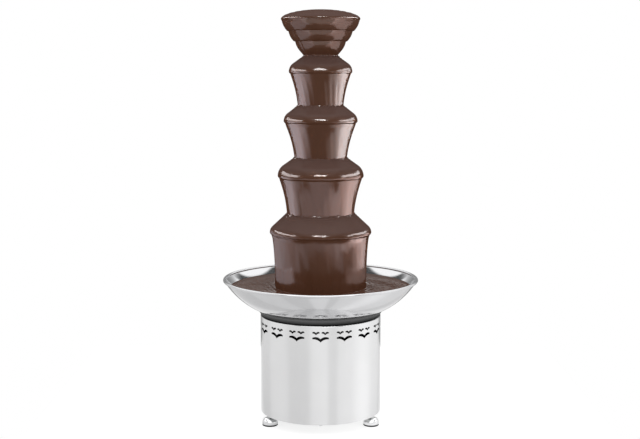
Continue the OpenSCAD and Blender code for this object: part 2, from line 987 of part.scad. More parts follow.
module auger() {
    color(white_plastic)
    difference() {
        union() {
            translate([0, 0, drive_z])
                cylinder(r = core_r, h = core_top - drive_z);
            flight();
        }
        hex_at(drive_hex_r + drive_hex_gap, drive_hex_h + 2, drive_z - 1);
    }
}

// Tower
module tower_tube() {
    color(bright_steel)
    difference() {
        rotate_extrude() {
            translate([tube_in_r, bowl_floor_z])
                square([tube_wall, tube_top - bowl_floor_z]);
            translate([tube_in_r, bowl_floor_z])
                square([tube_wall + tube_foot_w, tube_foot_t]);
            translate([tube_in_r, stop_ring_z])
                square([stop_ring_r - tube_in_r, stop_ring_h]);
        }
        on_ring(intake_angles, 0, bowl_floor_z + tube_foot_t + intake_sill)
            intake_arch();
        on_ring(pin_angles, pin_ring_r, bowl_floor_z - 1)
            cylinder(r = pin_r + hole_gap, h = tube_foot_t + 2);
    }
}

module intake_arch() {
    rotate([90, 0, 90])
        linear_extrude(tube_r + 1) {
            translate([-intake_w / 2, 0])
                square([intake_w, intake_h - intake_w / 2]);
            translate([0, intake_h - intake_w / 2])
                circle(intake_w / 2);
        }
}

module tier(k) {
    low = k == last_tier ? stop_ring_z + stop_ring_h : cone_z(k + 1, sleeve_r, 0);
    lip = tier_z[k] - lip_h;
    color(bright_steel)
    rotate_extrude()
        polygon(concat(
            [[fit_r, low], [fit_r, cone_z(k, sleeve_r, 0)]],
            dome_line(k, sleeve_r, 0),
            [[tier_r[k], lip], [tier_r[k] - tier_wall, lip]],
            reversed(dome_line(k, sleeve_r, -tier_wall)),
            [[sleeve_r, low]]
        ));
}

module tier_1() {
    tier(0);
}

module tier_2() {
    tier(1);
}

module tier_3() {
    tier(2);
}

module tier_4() {
    tier(3);
}

module crown() {
    color(bright_steel)
    rotate_extrude()
        polygon(concat(
            [[sleeve_r, crown_seat_z], [sleeve_r, collar_top]],
            reversed(band_line(0)),
            band_bore(0),
            [
                [spigot_in_r, collar_top + tier_wall], [spigot_in_r, collar_top - spigot_h],
                [spigot_r, collar_top - spigot_h], [spigot_r, collar_top],
                [fit_r, collar_top], [fit_r, crown_seat_z]
            ]
        ));
}

// Chocolate
module chocolate_pool() {
    inset = bowl_wall + seat_gap;
    low = bowl_floor_z + seat_gap;
    hole_r = tube_r + tube_foot_w + hole_gap;
    color(chocolate)
    rotate_extrude()
        intersection() {
            union() {
                bowl_circle(inset);
                translate([0, low])
                    square([bowl_floor_r, pool_depth]);
            }
            translate([hole_r, low])
                square([bowl_rim_r, pool_z - low]);
        }
}

module chocolate_crown() {
    dome_r = crown_rim_r + coat_t;
    dome = [
        for (i = [0 : crown_dome_steps])
        let (t = 90 - 90 * i / crown_dome_steps)
        [dome_r * cos(t), crown_dome_z + crown_rise * sin(t)]
    ];
    neck_r = sleeve_r + coat_t;
    neck_in = sleeve_r + seat_gap;
    fill_low = collar_top + tier_wall + seat_gap;
    color(chocolate)
    rotate_extrude()
        polygon(concat(
            dome,
            band_line(coat_t),
            [[neck_r, collar_top - coat_t / 2], [neck_r, cone_z(0, neck_r, coat_t) + seat_gap]],
            [[neck_in, cone_z(0, neck_in, coat_t) + seat_gap], [neck_in, collar_top - seat_gap]],
            reversed(band_line(seat_gap)),
            [[crown_rim_r + seat_gap, crown_rim_z + seat_gap]],
            band_bore(seat_gap),
            [[spigot_in_r - seat_gap, fill_low], [0, fill_low]]
        ));
}

// A coat over tier k that leaves its lip as a curtain
module curtain(k) {
    start_r = k == 0 ? sleeve_r + seat_gap : curtain_foot[k - 1] - sheet_t;
    lip_r = tier_r[k] + coat_t;
    fall = [lip_r - curtain_in, tier_z[k] - curtain_drop];
    foot_r = curtain_foot[k];
    foot_in = foot_r - sheet_t;
    foot_z = k == last_tier ? pool_z : cone_z(k + 1, foot_r, coat_t);
    foot_in_z = k == last_tier ? pool_z : cone_z(k + 1, foot_in, coat_t);
    color(chocolate)
    rotate_extrude()
        polygon(concat(
            dome_line(k, start_r, coat_t),
            arc([lip_r - lip_round, tier_z[k]], lip_round, -lip_under / arc_steps, -lip_under, arc_steps - 1),
            [fall, [foot_r, foot_z + seat_gap], [foot_in, foot_in_z + seat_gap], fall - [sheet_t, 0]],
            [[tier_r[k] + seat_gap, tier_z[k] - lip_h - seat_gap]],
            reversed(dome_line(k, start_r, seat_gap))
        ));
}

module chocolate_curtain_1() {
    curtain(0);
}

module chocolate_curtain_2() {
    curtain(1);
}

module chocolate_curtain_3() {
    curtain(2);
}

module chocolate_curtain_4() {
    curtain(3);
}

// Controls on the back of the drum
switch_w = rocker_w + 2 * pocket_gap + 2 * switch_wall;
switch_l = rocker_l + 2 * pocket_gap + 2 * switch_wall;

module switch_window() {
    cube([switch_w + 2 * hole_gap, switch_l + 2 * hole_gap, vent_depth], center = true);
}

module switch_body() {
    pocket_w = rocker_w + 2 * pocket_gap;
    pocket_l = rocker_l + 2 * pocket_gap;
    color(black_plastic)
    difference() {
        union() {
            translate([-switch_w / 2 - bezel_side, -switch_l / 2 - bezel_side, seat_gap])
                cube([switch_w + 2 * bezel_side, switch_l + 2 * bezel_side, bezel_t]);
            translate([-switch_w / 2, -switch_l / 2, -switch_depth])
                cube([switch_w, switch_l, switch_depth + seat_gap + join]);
            for (y = [-1, 0, 1])
                translate([-tab_w / 2, y * switch_l / 3 - tab_t / 2, -switch_depth - tab_l])
                    cube([tab_w, tab_t, tab_l + join]);
        }
        translate([-pocket_w / 2, -pocket_l / 2, -pocket_depth])
            cube([pocket_w, pocket_l, pocket_depth + bezel_t + 1]);
        translate([0, 0, rocker_axis])
            rotate([0, 90, 0])
                cylinder(r = trunnion_r + running_gap, h = pocket_w + 2 * trunnion_l, center = true);
    }
}

module rocker() {
    half = rocker_l / 2;
    side = [
        [-half, -rocker_under], [0, -rocker_keel], [half, -rocker_under],
        [half, rocker_h], [0, rocker_h - rocker_dip], [-half, rocker_h]
    ];
    color(black_plastic)
    translate([0, 0, rocker_axis])
        rotate([rocker_tilt, 0, 0]) {
            rotate([90, 0, 90])
                linear_extrude(rocker_w, center = true)
                    polygon(side);
            rotate([0, 90, 0])
                cylinder(r = trunnion_r, h = rocker_w + 2 * pocket_gap + trunnion_l, center = true);
        }
}

module motor_switch_body() {
    on_drum(-control_angle, control_level)
        switch_body();
}

module motor_rocker() {
    on_drum(-control_angle, control_level)
        rocker();
}

module heater_switch_body() {
    on_drum(control_angle, control_level)
        switch_body();
}

module heater_rocker() {
    on_drum(control_angle, control_level)
        rocker();
}

module thermostat_body() {
    seat = base_wall + sag(thermostat_r, base_r - base_wall) + seat_gap;
    color(white_plastic)
    on_drum(0, control_level)
        difference() {
            union() {
                translate([0, 0, -seat - thermostat_h])
                    cylinder(r = thermostat_r, h = thermostat_h);
                translate([0, 0, -seat - join])
                    cylinder(r = bush_r, h = seat + bush_out + join);
                for (side = [-1, 1])
                    translate([side * thermostat_r / 2 - tab_t / 2, -tab_w / 2, -seat - thermostat_h - tab_l])
                        cube([tab_t, tab_w, tab_l + join]);
            }
            translate([0, 0, -spindle_in - 1])
                cylinder(r = spindle_r + running_gap, h = spindle_in + bush_out + 2);
        }
}

module thermostat_nut() {
    color(zinc)
    on_drum(0, control_level)
        translate([0, 0, seat_gap])
            hex_nut(bush_r + running_gap, thermostat_nut_r, thermostat_nut_h);
}

module thermostat_spindle() {
    color(bright_steel)
    on_drum(0, control_level)
        translate([0, 0, -spindle_in])
            cylinder(r = spindle_r, h = spindle_in + knob_seat + knob_recess_h + knob_bore_h - seat_gap);
}

module thermostat_knob() {
    flute_angles = [for (i = [1 : knob_flutes]) (i + 0.5) * 360 / knob_flutes];
    color(black_plastic)
    on_drum(0, control_level)
        translate([0, 0, knob_seat])
            difference() {
                union() {
                    cylinder(r = knob_r, h = knob_skirt_h);
                    cylinder(r = knob_grip_r, h = knob_h);
                    translate([-pointer_w / 2, 0, knob_h - join])
                        cube([pointer_w, knob_grip_r - pointer_w, pointer_h + join]);
                }
                translate([0, 0, -1])
                    cylinder(r = knob_recess_r, h = knob_recess_h + 1);
                cylinder(r = spindle_r + running_gap, h = knob_recess_h + knob_bore_h);
                on_ring(flute_angles, knob_grip_r + 1, knob_skirt_h)
                    cylinder(r = knob_flute_r, h = knob_h);
            }
}

module pilot_lamp_body() {
    color(black_plastic)
    on_drum(control_angle, control_level + lamp_rise)
        difference() {
            union() {
                translate([0, 0, seat_gap])
                    cylinder(r = lamp_flange_r, h = lamp_flange_t);
                translate([0, 0, -lamp_depth])
                    cylinder(r = lamp_r, h = lamp_depth + seat_gap + join);
            }
            translate([0, 0, -lamp_depth - 1])
                cylinder(r = lamp_bore_r, h = lamp_depth + lamp_flange_t + 2);
        }
}

module pilot_lamp_lens() {
    color(amber)
    on_drum(control_angle, control_level + lamp_rise)
        translate([0, 0, seat_gap + lamp_flange_t])
            intersection() {
                cylinder(r = lens_r, h = lens_ball_r);
                translate([0, 0, lens_h - sqrt(pow(lens_ball_r, 2) - pow(lens_r, 2))])
                    sphere(lens_ball_r);
            }
}

module cable_gland() {
    color(black_plastic)
    on_drum(0, gland_level)
        difference() {
            union() {
                translate([0, 0, -gland_tail])
                    cylinder(r = gland_thread_r, h = gland_tail + gland_hex_h);
                hex_at(gland_hex_r, gland_hex_h, seat_gap);
                translate([0, 0, gland_hex_h])
                    rotate_extrude()
                        polygon([
                            [0, -join], [gland_cap_r, -join], [gland_cap_r, gland_cap_h / 2],
                            [gland_nose_r, gland_cap_h], [0, gland_cap_h]
                        ]);
            }
            translate([0, 0, -gland_tail - 1])
                cylinder(r = gland_bore_r, h = gland_tail + gland_hex_h + gland_cap_h + 2);
        }
}

module gland_locknut() {
    seat = base_wall + sag(gland_hex_r, base_r - base_wall) + seat_gap;
    color(black_plastic)
    on_drum(0, gland_level)
        translate([0, 0, -seat - gland_nut_h])
            hex_nut(gland_thread_r + running_gap, gland_hex_r, gland_nut_h);
}

base_housing();
bottom_plate();
bottom_screws();
foot_nuts();
left_foot_cup();
left_foot_pad();
left_foot_stud();
right_foot_cup();
right_foot_pad();
right_foot_stud();
rear_foot_cup();
rear_foot_pad();
rear_foot_stud();
bowl_gasket();
bowl();
locating_pins();
heater_plate();
heating_element();
thermal_cutout();
seal_housing();
hub_nut();
shaft_bush();
shaft_seal();
tie_rods();
tie_rod_nuts();
motor_deck();
gearbox();
gearbox_screws();
motor();
terminal_block();
drive_shaft();
auger();
tower_tube();
tier_1();
tier_2();
tier_3();
tier_4();
crown();
thermostat_body();
thermostat_nut();
thermostat_spindle();
thermostat_knob();
motor_switch_body();
motor_rocker();
heater_switch_body();
heater_rocker();
pilot_lamp_body();
pilot_lamp_lens();
cable_gland();
gland_locknut();
chocolate_pool();
chocolate_crown();
chocolate_curtain_1();
chocolate_curtain_2();
chocolate_curtain_3();
chocolate_curtain_4();
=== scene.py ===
"""Chocolate fountain: its steel, rubber and plastic finishes, and the running chocolate."""

import json
import logging
import math
from dataclasses import dataclass
from enum import Enum

import bpy
import numpy as np
from numpy.typing import NDArray
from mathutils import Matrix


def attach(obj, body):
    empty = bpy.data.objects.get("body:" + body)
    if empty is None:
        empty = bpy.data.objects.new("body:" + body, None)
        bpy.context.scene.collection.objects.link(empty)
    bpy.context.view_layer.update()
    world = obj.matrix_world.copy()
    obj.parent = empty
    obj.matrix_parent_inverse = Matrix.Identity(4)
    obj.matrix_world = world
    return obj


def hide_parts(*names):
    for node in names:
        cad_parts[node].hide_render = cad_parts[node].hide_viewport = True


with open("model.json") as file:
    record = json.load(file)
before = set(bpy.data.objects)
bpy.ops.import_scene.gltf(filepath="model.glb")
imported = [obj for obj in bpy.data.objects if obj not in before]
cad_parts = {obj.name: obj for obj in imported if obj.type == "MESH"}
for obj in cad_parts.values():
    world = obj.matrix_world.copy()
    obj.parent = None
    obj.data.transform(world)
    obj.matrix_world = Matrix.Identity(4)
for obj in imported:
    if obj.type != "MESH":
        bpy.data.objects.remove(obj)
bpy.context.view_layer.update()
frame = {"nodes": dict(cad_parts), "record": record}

Array = NDArray[np.float64]
Colour = tuple[float, float, float]
Point = tuple[float, float]
Material = bpy.types.Material
Piece = bpy.types.Object
Socket = bpy.types.NodeSocket

MM = 0.001
TAU = 2.0 * math.pi
LOG = logging.getLogger("fountain")

# Brightness of the studio's walls from left to right, at shares of its width
WALLS = (
    (0.0, 0.88), (0.04, 0.87), (0.06, 0.79), (0.3, 0.8), (0.36, 0.93), (0.6, 0.97),
    (0.65, 0.83), (0.74, 0.83), (0.78, 0.94), (0.94, 0.98), (1.0, 1.13),
)
# Brightness of its ceiling, at distances from the middle
CEILING = ((0.0, 1.7), (0.56, 1.65), (0.59, 0.1), (0.68, 0.1), (0.71, 1.4), (1.0, 1.4))
# Usual distance of its lamps from the fountain's middle, in metres, and their colours
LAMP_RING = 2.2
WHITE: Colour = (1.0, 1.0, 1.0)
LILAC: Colour = (0.94, 0.9, 1.0)
BLUSH: Colour = (1.0, 0.96, 0.97)
ROSE: Colour = (1.0, 0.8, 0.78)

# A noise with no stretch, and the range in which most of a noise lies
EVEN = (1.0, 1.0, 1.0)
NOISE_SPAN = (0.3, 0.7)


class Body(Enum):
    """CAD bodies that carry the new pieces."""

    BASE = "base"
    TOWER = "tower"


class Blend(Enum):
    """What a mix node mixes."""

    NUMBERS = "FLOAT"
    COLOURS = "RGBA"


class Pattern(Enum):
    """Grain of a metal: its noise's stretch along the axes, its scale and its octaves."""

    BRUSHED = ((3.0, 3.0, 900.0), 1.0, 3.0)
    SPUN = ((14.0, 14.0, 700.0), 1.0, 2.0)
    GRAINED = (EVEN, 420.0, 4.0)


# Materials


class NodeTree:
    """The nodes of a material or of the world."""

    def __init__(self, tree: bpy.types.NodeTree) -> None:
        """Takes hold of a tree's nodes and links."""
        self.nodes, self.links = tree.nodes, tree.links

    def feed(self, socket: Socket, value: Socket | float | Colour) -> None:
        """Gives a socket a constant, or links another node's output to it.

        Args:
            socket: The socket.
            value: A number, a colour of three numbers, or an output.
        """
        if isinstance(value, Socket):
            self.links.new(value, socket)
        elif isinstance(value, tuple):
            socket.default_value = (*value, 1.0)
        else:
            socket.default_value = value

    def split(self, vector: Socket) -> bpy.types.NodeOutputs:
        """Splits a vector.

        Args:
            vector: The vector.

        Returns:
            Its parts by the names X, Y and Z.
        """
        node = self.nodes.new("ShaderNodeSeparateXYZ")
        self.links.new(vector, node.inputs["Vector"])
        return node.outputs

    def axes(self, coordinates: str) -> bpy.types.NodeOutputs:
        """The parts of a point's coordinates of the kind that is named."""
        return self.split(self.nodes.new("ShaderNodeTexCoord").outputs[coordinates])

    def maths(self, operation: str, *values: Socket | float) -> Socket:
        """One arithmetic node.

        Args:
            operation: Name of the operation.
            values: Its inputs, each an output or a number.

        Returns:
            The result.
        """
        node = self.nodes.new("ShaderNodeMath")
        node.operation = operation
        for socket, value in zip(node.inputs, values):
            self.feed(socket, value)
        return node.outputs["Value"]

    def length(self, coordinates: str) -> Socket:
        """Distance of a point from the origin.

        Args:
            coordinates: Kind of its coordinates.

        Returns:
            The distance.
        """
        node = self.nodes.new("ShaderNodeVectorMath")
        node.operation = "LENGTH"
        self.links.new(self.nodes.new("ShaderNodeTexCoord").outputs[coordinates], node.inputs[0])
        return node.outputs["Value"]

    def span(self, value: Socket, source: Point, result: Point = (0.0, 1.0), eased: bool = False) -> Socket:
        """Carries a number from one range to another, and holds it at the ends.

        Args:
            value: The number.
            source: The range that it comes from.
            result: The range that it goes to.
            eased: Whether it leaves and reaches the ends softly.

        Returns:
            The new number.
        """
        node = self.nodes.new("ShaderNodeMapRange")
        if eased:
            node.interpolation_type = "SMOOTHSTEP"
        for name, number in zip(("From Min", "From Max", "To Min", "To Max"), (*source, *result)):
            node.inputs[name].default_value = number
        self.links.new(value, node.inputs["Value"])
        return node.outputs["Result"]

    def mix(self, blend: Blend, factor: Socket, low: Socket | float, high: Socket | float | Colour) -> Socket:
        """Mixes two numbers or two colours.

        Args:
            blend: What is mixed.
            factor: Share of the second one.
            low: The first one.
            high: The second one.

        Returns:
            The mix.
        """
        node = self.nodes.new("ShaderNodeMix")
        node.data_type = blend.value
        for name, value in (("Factor", factor), ("A", low), ("B", high)):
            self.feed(node.inputs[name], value)
        return node.outputs["Result"]

    def ramp(self, value: Socket, *stops: tuple[float, Colour]) -> Socket:
        """Colours between stops along a factor.

        Args:
            value: The factor.
            stops: Factors and the colour at each, in order.

        Returns:
            The colour.
        """
        node = self.nodes.new("ShaderNodeValToRGB")
        elements = node.color_ramp.elements
        while len(elements) < len(stops):
            elements.new(0.5)
        for element, (place, colour) in zip(elements, stops):
            element.position = place
            element.color = (*colour, 1.0)
        self.links.new(value, node.inputs["Fac"])
        return node.outputs["Color"]

    def levels(self, value: Socket, stops: tuple[Point, ...]) -> Socket:
        """Brightness between stops along a factor."""
        return self.ramp(value, *((place, (level, level, level)) for place, level in stops))

    def rays(self) -> tuple[Socket, Socket]:
        """Tells rays apart.

        Returns:
            Whether a ray comes straight or through glass from the camera, and whether it comes from a reflection.
        """
        path = self.nodes.new("ShaderNodeLightPath").outputs
        return self.maths("MAXIMUM", path["Is Camera Ray"], path["Is Transmission Ray"]), path["Is Glossy Ray"]


class NodeSheet(NodeTree):
    """A material's nodes, with a Principled shader ready to be wired."""

    def __init__(self, name: str) -> None:
        """Starts a material.

        Args:
            name: The material's name.
        """
        self.material = bpy.data.materials.new(name)
        self.material.use_nodes = True
        super().__init__(self.material.node_tree)
        self.shader = self.nodes["Principled BSDF"]

    def put(self, socket: str, value: Socket | float | Colour) -> None:
        """Gives one of the shader's own sockets a constant or an output."""
        self.feed(self.shader.inputs[socket], value)

    def surface(self, shader: Socket) -> None:
        """Puts a shader on the surface."""
        self.feed(self.nodes["Material Output"].inputs["Surface"], shader)

    def noise(self, stretch: tuple[float, float, float], scale: float, detail: float) -> Socket:
        """Noise on the piece's own coordinates.

        Args:
            stretch: Factors on the three axes, so that a large one makes thin bands across it.
            scale: Features per metre before the stretch.
            detail: Octaves of the noise.

        Returns:
            The noise's value, from 0 to 1.
        """
        coord = self.nodes.new("ShaderNodeTexCoord")
        mapping = self.nodes.new("ShaderNodeMapping")
        mapping.inputs["Scale"].default_value = stretch
        texture = self.nodes.new("ShaderNodeTexNoise")
        texture.inputs["Scale"].default_value = scale
        texture.inputs["Detail"].default_value = detail
        self.links.new(coord.outputs["Object"], mapping.inputs["Vector"])
        self.links.new(mapping.outputs["Vector"], texture.inputs["Vector"])
        return texture.outputs["Fac"]

    def clouds(self, noise: Socket, shade: Colour, tint: Colour) -> Socket:
        """A colour that drifts with a noise from a shade to a tint."""
        return self.ramp(noise, (0.35, shade), (0.65, tint))

    def facing_up(self, ends: Point) -> Socket:
        """Factor that runs from 0 to 1 as the upright part of the surface's normal passes from end to end."""
        return self.span(self.split(self.nodes.new("ShaderNodeNewGeometry").outputs["Normal"])["Z"], ends)

    def hollow(self, radius: float, above: float) -> Socket:
        """Marks what lies near the upright axis, where a metal is painted dark as shade.

        Args:
            radius: Distance from the axis in metres.
            above: Height in metres.

        Returns:
            A factor that is 1 within the distance and above the height, and 0 elsewhere.
        """
        axes = self.axes("Object")
        square = self.maths("MULTIPLY_ADD", axes["Y"], axes["Y"], self.maths("MULTIPLY", axes["X"], axes["X"]))
        inside = self.maths("LESS_THAN", square, radius * radius)
        return self.maths("MULTIPLY", inside, self.maths("GREATER_THAN", axes["Z"], above))

    def bump(self, height: Socket, depth: float, strength: float) -> None:
        """Raises the surface by a height map.

        Args:
            height: The height, from 0 to 1.
            depth: Depth of the relief in metres.
            strength: Strength of the relief.
        """
        bump = self.nodes.new("ShaderNodeBump")
        bump.inputs["Distance"].default_value = depth
        bump.inputs["Strength"].default_value = strength
        self.links.new(height, bump.inputs["Height"])
        self.put("Normal", bump.outputs["Normal"])


@dataclass(frozen=True)
class MetalFinish:
    """A bare or plated metal."""

    name: str
    tint: Colour
    shade: Colour
    smooth: float
    rough: float
    pattern: Pattern
    relief: float = 0.0
    # A hollow near the axis, and the dark colour painted into it as shade where no light reaches
    hollow: Point | None = None
    painted_shade: Colour = (0.05, 0.05, 0.05)

    def material(self) -> Material:
        """Builds the metal: colour and roughness follow the noise of its pattern, and a hollow is painted dark as
        shade.

        Returns:
            The material.
        """
        sheet = NodeSheet(self.name)
        sheet.put("Metallic", 1.0)
        grain = sheet.noise(*self.pattern.value)
        colour = sheet.clouds(sheet.noise(EVEN, 9.0, 2.0), self.shade, self.tint)
        # Painted shade: the hollow is coloured dark
        if self.hollow:
            colour = sheet.mix(Blend.COLOURS, sheet.hollow(*self.hollow), colour, self.painted_shade)
        sheet.put("Base Color", colour)
        sheet.put("Roughness", sheet.span(grain, NOISE_SPAN, (self.smooth, self.rough)))
        if self.relief:
            sheet.bump(grain, self.relief, 0.4)
        return sheet.material


@dataclass(frozen=True)
class PolymerFinish:
    """A rubber or a moulded plastic."""

    name: str
    tint: Colour
    shade: Colour
    smooth: float
    rough: float
    grain: float
    relief: float
    specular: float = 0.5
    # Heights over which the colour goes from the shade to the tint: painted light, lighter towards the top
    painted_light_rise: Point | None = None

    def material(self) -> Material:
        """Builds the polymer: a fine moulded grain with slight changes of shade, or painted light that makes it
        lighter upwards.

        Returns:
            The material.
        """
        sheet = NodeSheet(self.name)
        sheet.put("Specular IOR Level", self.specular)
        grain = sheet.noise(EVEN, self.grain, 3.0)
        # Painted light: the colour brightens from the bottom of the span to its top
        if self.painted_light_rise:
            colour = sheet.ramp(sheet.span(sheet.axes("Object")["Z"], self.painted_light_rise), (0.0, self.shade), (1.0, self.tint))
        else:
            colour = sheet.clouds(sheet.noise(EVEN, 30.0, 2.0), self.shade, self.tint)
        sheet.put("Base Color", colour)
        sheet.put("Roughness", sheet.span(grain, NOISE_SPAN, (self.smooth, self.rough)))
        sheet.bump(grain, self.relief, 0.5)
        return sheet.material


@dataclass(frozen=True)
class LensFinish:
    """A coloured, lightly frosted lamp lens."""

    name: str
    tint: Colour
    shade: Colour
    glow: float = 0.4

    def material(self) -> Material:
        """Builds the lens: a glossy coloured skin with a fine prism pattern.

        Returns:
            The material.
        """
        sheet = NodeSheet(self.name)
        sheet.put("Coat Weight", 1.0)
        sheet.put("Emission Strength", self.glow)
        grain = sheet.noise(EVEN, 900.0, 1.0)
        colour = sheet.ramp(grain, (0.4, self.shade), (0.6, self.tint))
        sheet.put("Base Color", colour)
        sheet.put("Emission Color", colour)
        sheet.put("Roughness", sheet.span(grain, NOISE_SPAN, (0.12, 0.3)))
        return sheet.material


@dataclass(frozen=True)
class ChocolateFinish:
    """Melted chocolate: a brown body under a thin wet sheen, with a painted sky reflection where it faces up."""

    name: str
    tint: Colour
    shade: Colour
    # Colour of faces that look up: a painted reflection of the bright sky
    painted_sky_sheen: Colour
    rough: float
    sheen: float

    def material(self) -> Material:
        """Builds the chocolate: soft brown clouds, with an even share of mirror-like sheen on top.

        Returns:
            The material.
        """
        sheet = NodeSheet(self.name)
        sheet.put("Specular IOR Level", 0.0)
        sheet.put("Roughness", 0.6)
        brown = sheet.clouds(sheet.noise((1.0, 1.0, 0.35), 26.0, 3.0), self.shade, self.tint)
        # Painted reflection: faces that look up are mixed towards the sky's lighter colour
        sheet.put("Base Color", sheet.mix(Blend.COLOURS, sheet.facing_up((0.15, 0.65)), brown, self.painted_sky_sheen))
        gloss = sheet.nodes.new("ShaderNodeBsdfGlossy")
        fine = sheet.noise((1.0, 1.0, 0.3), 90.0, 2.0)
        sheet.feed(gloss.inputs["Roughness"], sheet.span(fine, NOISE_SPAN, (0.8 * self.rough, 1.2 * self.rough)))
        wet = sheet.nodes.new("ShaderNodeMixShader")
        sheet.feed(wet.inputs["Fac"], self.sheen)
        sheet.feed(wet.inputs[1], sheet.shader.outputs["BSDF"])
        sheet.feed(wet.inputs[2], gloss.outputs["BSDF"])
        sheet.surface(wet.outputs["Shader"])
        return sheet.material


# Surfaces


def arc(centre: Point, radius: float, start: float, end: float, count: int) -> Array:
    """Points at even angles along a circle's arc.

    Args:
        centre: The circle's centre.
        radius: The circle's radius.
        start: First angle in degrees.
        end: Last angle in degrees.
        count: Number of points.

    Returns:
        The points, one row each.
    """
    t = np.radians(np.linspace(start, end, count))
    return np.stack([centre[0] + radius * np.cos(t), centre[1] + radius * np.sin(t)], axis=1)


def lengths(path: Array) -> Array:
    """Distances of a path's points from its start, measured along it."""
    step = np.linalg.norm(np.diff(path, axis=0), axis=1)
    return np.concatenate([[0.0], np.cumsum(step)])


def resample(path: Array, count: int, soften: float = 0.0) -> Array:
    """Spaces points evenly along a path, and rounds its corners by a running mean.

    Args:
        path: Points of the path.
        count: Number of points wanted.
        soften: Length over which the mean is taken, in the path's units.

    Returns:
        The new points, with both ends kept.
    """
    along = lengths(path)
    even = np.linspace(0.0, along[-1], count)
    out = np.stack([np.interp(even, along, path[:, i]) for i in range(2)], axis=1)
    width = int(round(soften / along[-1] * count))
    if width < 1:
        return out
    kernel = np.hanning(2 * width + 3)[1:-1]
    kernel /= kernel.sum()
    pad = len(kernel) // 2
    left = 2.0 * out[:1] - out[pad:0:-1]
    right = 2.0 * out[-1:] - out[-2 : -pad - 2 : -1]
    wide = np.concatenate([left, out, right])
    return np.stack([np.convolve(wide[:, i], kernel, mode="valid") for i in range(2)], axis=1)


def normals(path: Array) -> Array:
    """Unit normals of a path, its tangents turned by a right angle.

    Args:
        path: Points of a path that runs downwards along an outside.

    Returns:
        The normals, which point away from the axis.
    """
    tangent = np.gradient(path, axis=0)
    tangent /= np.linalg.norm(tangent, axis=1, keepdims=True)
    return np.stack([-tangent[:, 1], tangent[:, 0]], axis=1)


def round_axis(turns: int) -> Array:
    """A row of even angles round the axis, in radians."""
    return np.linspace(0.0, TAU, turns, endpoint=False)[None, :]


def repeated(path: Array, turns: int) -> Array:
    """A path of points (r, z) repeated as the columns of a grid."""
    return np.repeat(path[:, None, :], turns, axis=1)


def revolve(grid: Array) -> Array:
    """A grid turned about the axis: x = r cos(t), y = r sin(t), z = z.

    Args:
        grid: Points (r, z), with a row for each point of a path and a column for each angle.

    Returns:
        The points (x, y, z) in the same rows and columns.
    """
    t = round_axis(grid.shape[1])
    r, z = grid[..., 0], grid[..., 1]
    return np.stack([r * np.cos(t), r * np.sin(t), z], axis=2)


def shell(name: str, grid: Array, loop: bool) -> Piece:
    """A closed smooth mesh on a grid of points that wraps round the axis.

    The grid's cells become quads. A looped grid also joins its last row to its first one. The end rows of
    a grid that isn't looped are closed by one point each, the middle of the row.

    Args:
        name: The piece's name.
        grid: Points in millimetres, in rows along the path and columns round the axis.
        loop: Whether the path closes on itself.

    Returns:
        The new object, in the scene.
    """
    rows, cols = grid.shape[:2]
    points = grid.reshape(-1, 3) * MM
    i = np.arange(rows if loop else rows - 1)[:, None]
    j = np.arange(cols)[None, :]
    k = (j + 1) % cols
    low, high = i * cols, (i + 1) % rows * cols
    quads = np.stack([low + j, low + k, high + k, high + j], axis=2).reshape(-1, 4)
    fans = np.zeros((0, 3), int)
    if not loop:
        ends = np.stack([grid[0].mean(axis=0), grid[-1].mean(axis=0)]) * MM
        top, bottom = len(points), len(points) + 1
        points = np.concatenate([points, ends])
        j, k = j.ravel(), k.ravel()
        last = (rows - 1) * cols
        fans = np.concatenate(
            [
                np.stack([np.full(cols, top), k, j], axis=1),
                np.stack([np.full(cols, bottom), last + j, last + k], axis=1),
            ]
        )
    tris = np.concatenate([quads[:, [0, 1, 2]], quads[:, [0, 2, 3]], fans])
    a, b, c = points[tris[:, 0]], points[tris[:, 1]], points[tris[:, 2]]
    if np.einsum("ij,ij->", a, np.cross(b, c)) < 0.0:
        quads, fans = quads[:, ::-1], fans[:, ::-1]
    mesh = bpy.data.meshes.new(name)
    mesh.vertices.add(len(points))
    mesh.vertices.foreach_set("co", points.ravel())
    corners = np.concatenate([quads.ravel(), fans.ravel()])
    mesh.loops.add(len(corners))
    mesh.loops.foreach_set("vertex_index", corners)
    totals = np.concatenate([np.full(len(quads), 4), np.full(len(fans), 3)])
    mesh.polygons.add(len(totals))
    mesh.polygons.foreach_set("loop_start", np.concatenate([[0], np.cumsum(totals)[:-1]]))
    mesh.polygons.foreach_set("use_smooth", np.ones(len(totals), bool))
    mesh.update(calc_edges=True)
    obj = bpy.data.objects.new(name, mesh)
    bpy.context.scene.collection.objects.link(obj)
    return obj


def waves(seed: int, orders: Array, angles: Array) -> Array:
    """A smooth random function of the angle: the sum of cosines of the orders, each with a random phase.

    Args:
        seed: Seed of the random phases.
        orders: Whole numbers of waves round the axis.
        angles: Angles in radians.

    Returns:
        Values of about -1 to 1, in the shape of the angles.
    """
    rng = np.random.default_rng(seed)
    phase = rng.uniform(0.0, TAU, len(orders))
    weight = rng.uniform(0.5, 1.0, len(orders))
    turned = np.multiply.outer(orders, angles) + phase.reshape(-1, *[1] * angles.ndim)
    return np.tensordot(weight, np.cos(turned), 1) / np.sqrt((weight**2).sum())


# Chocolate


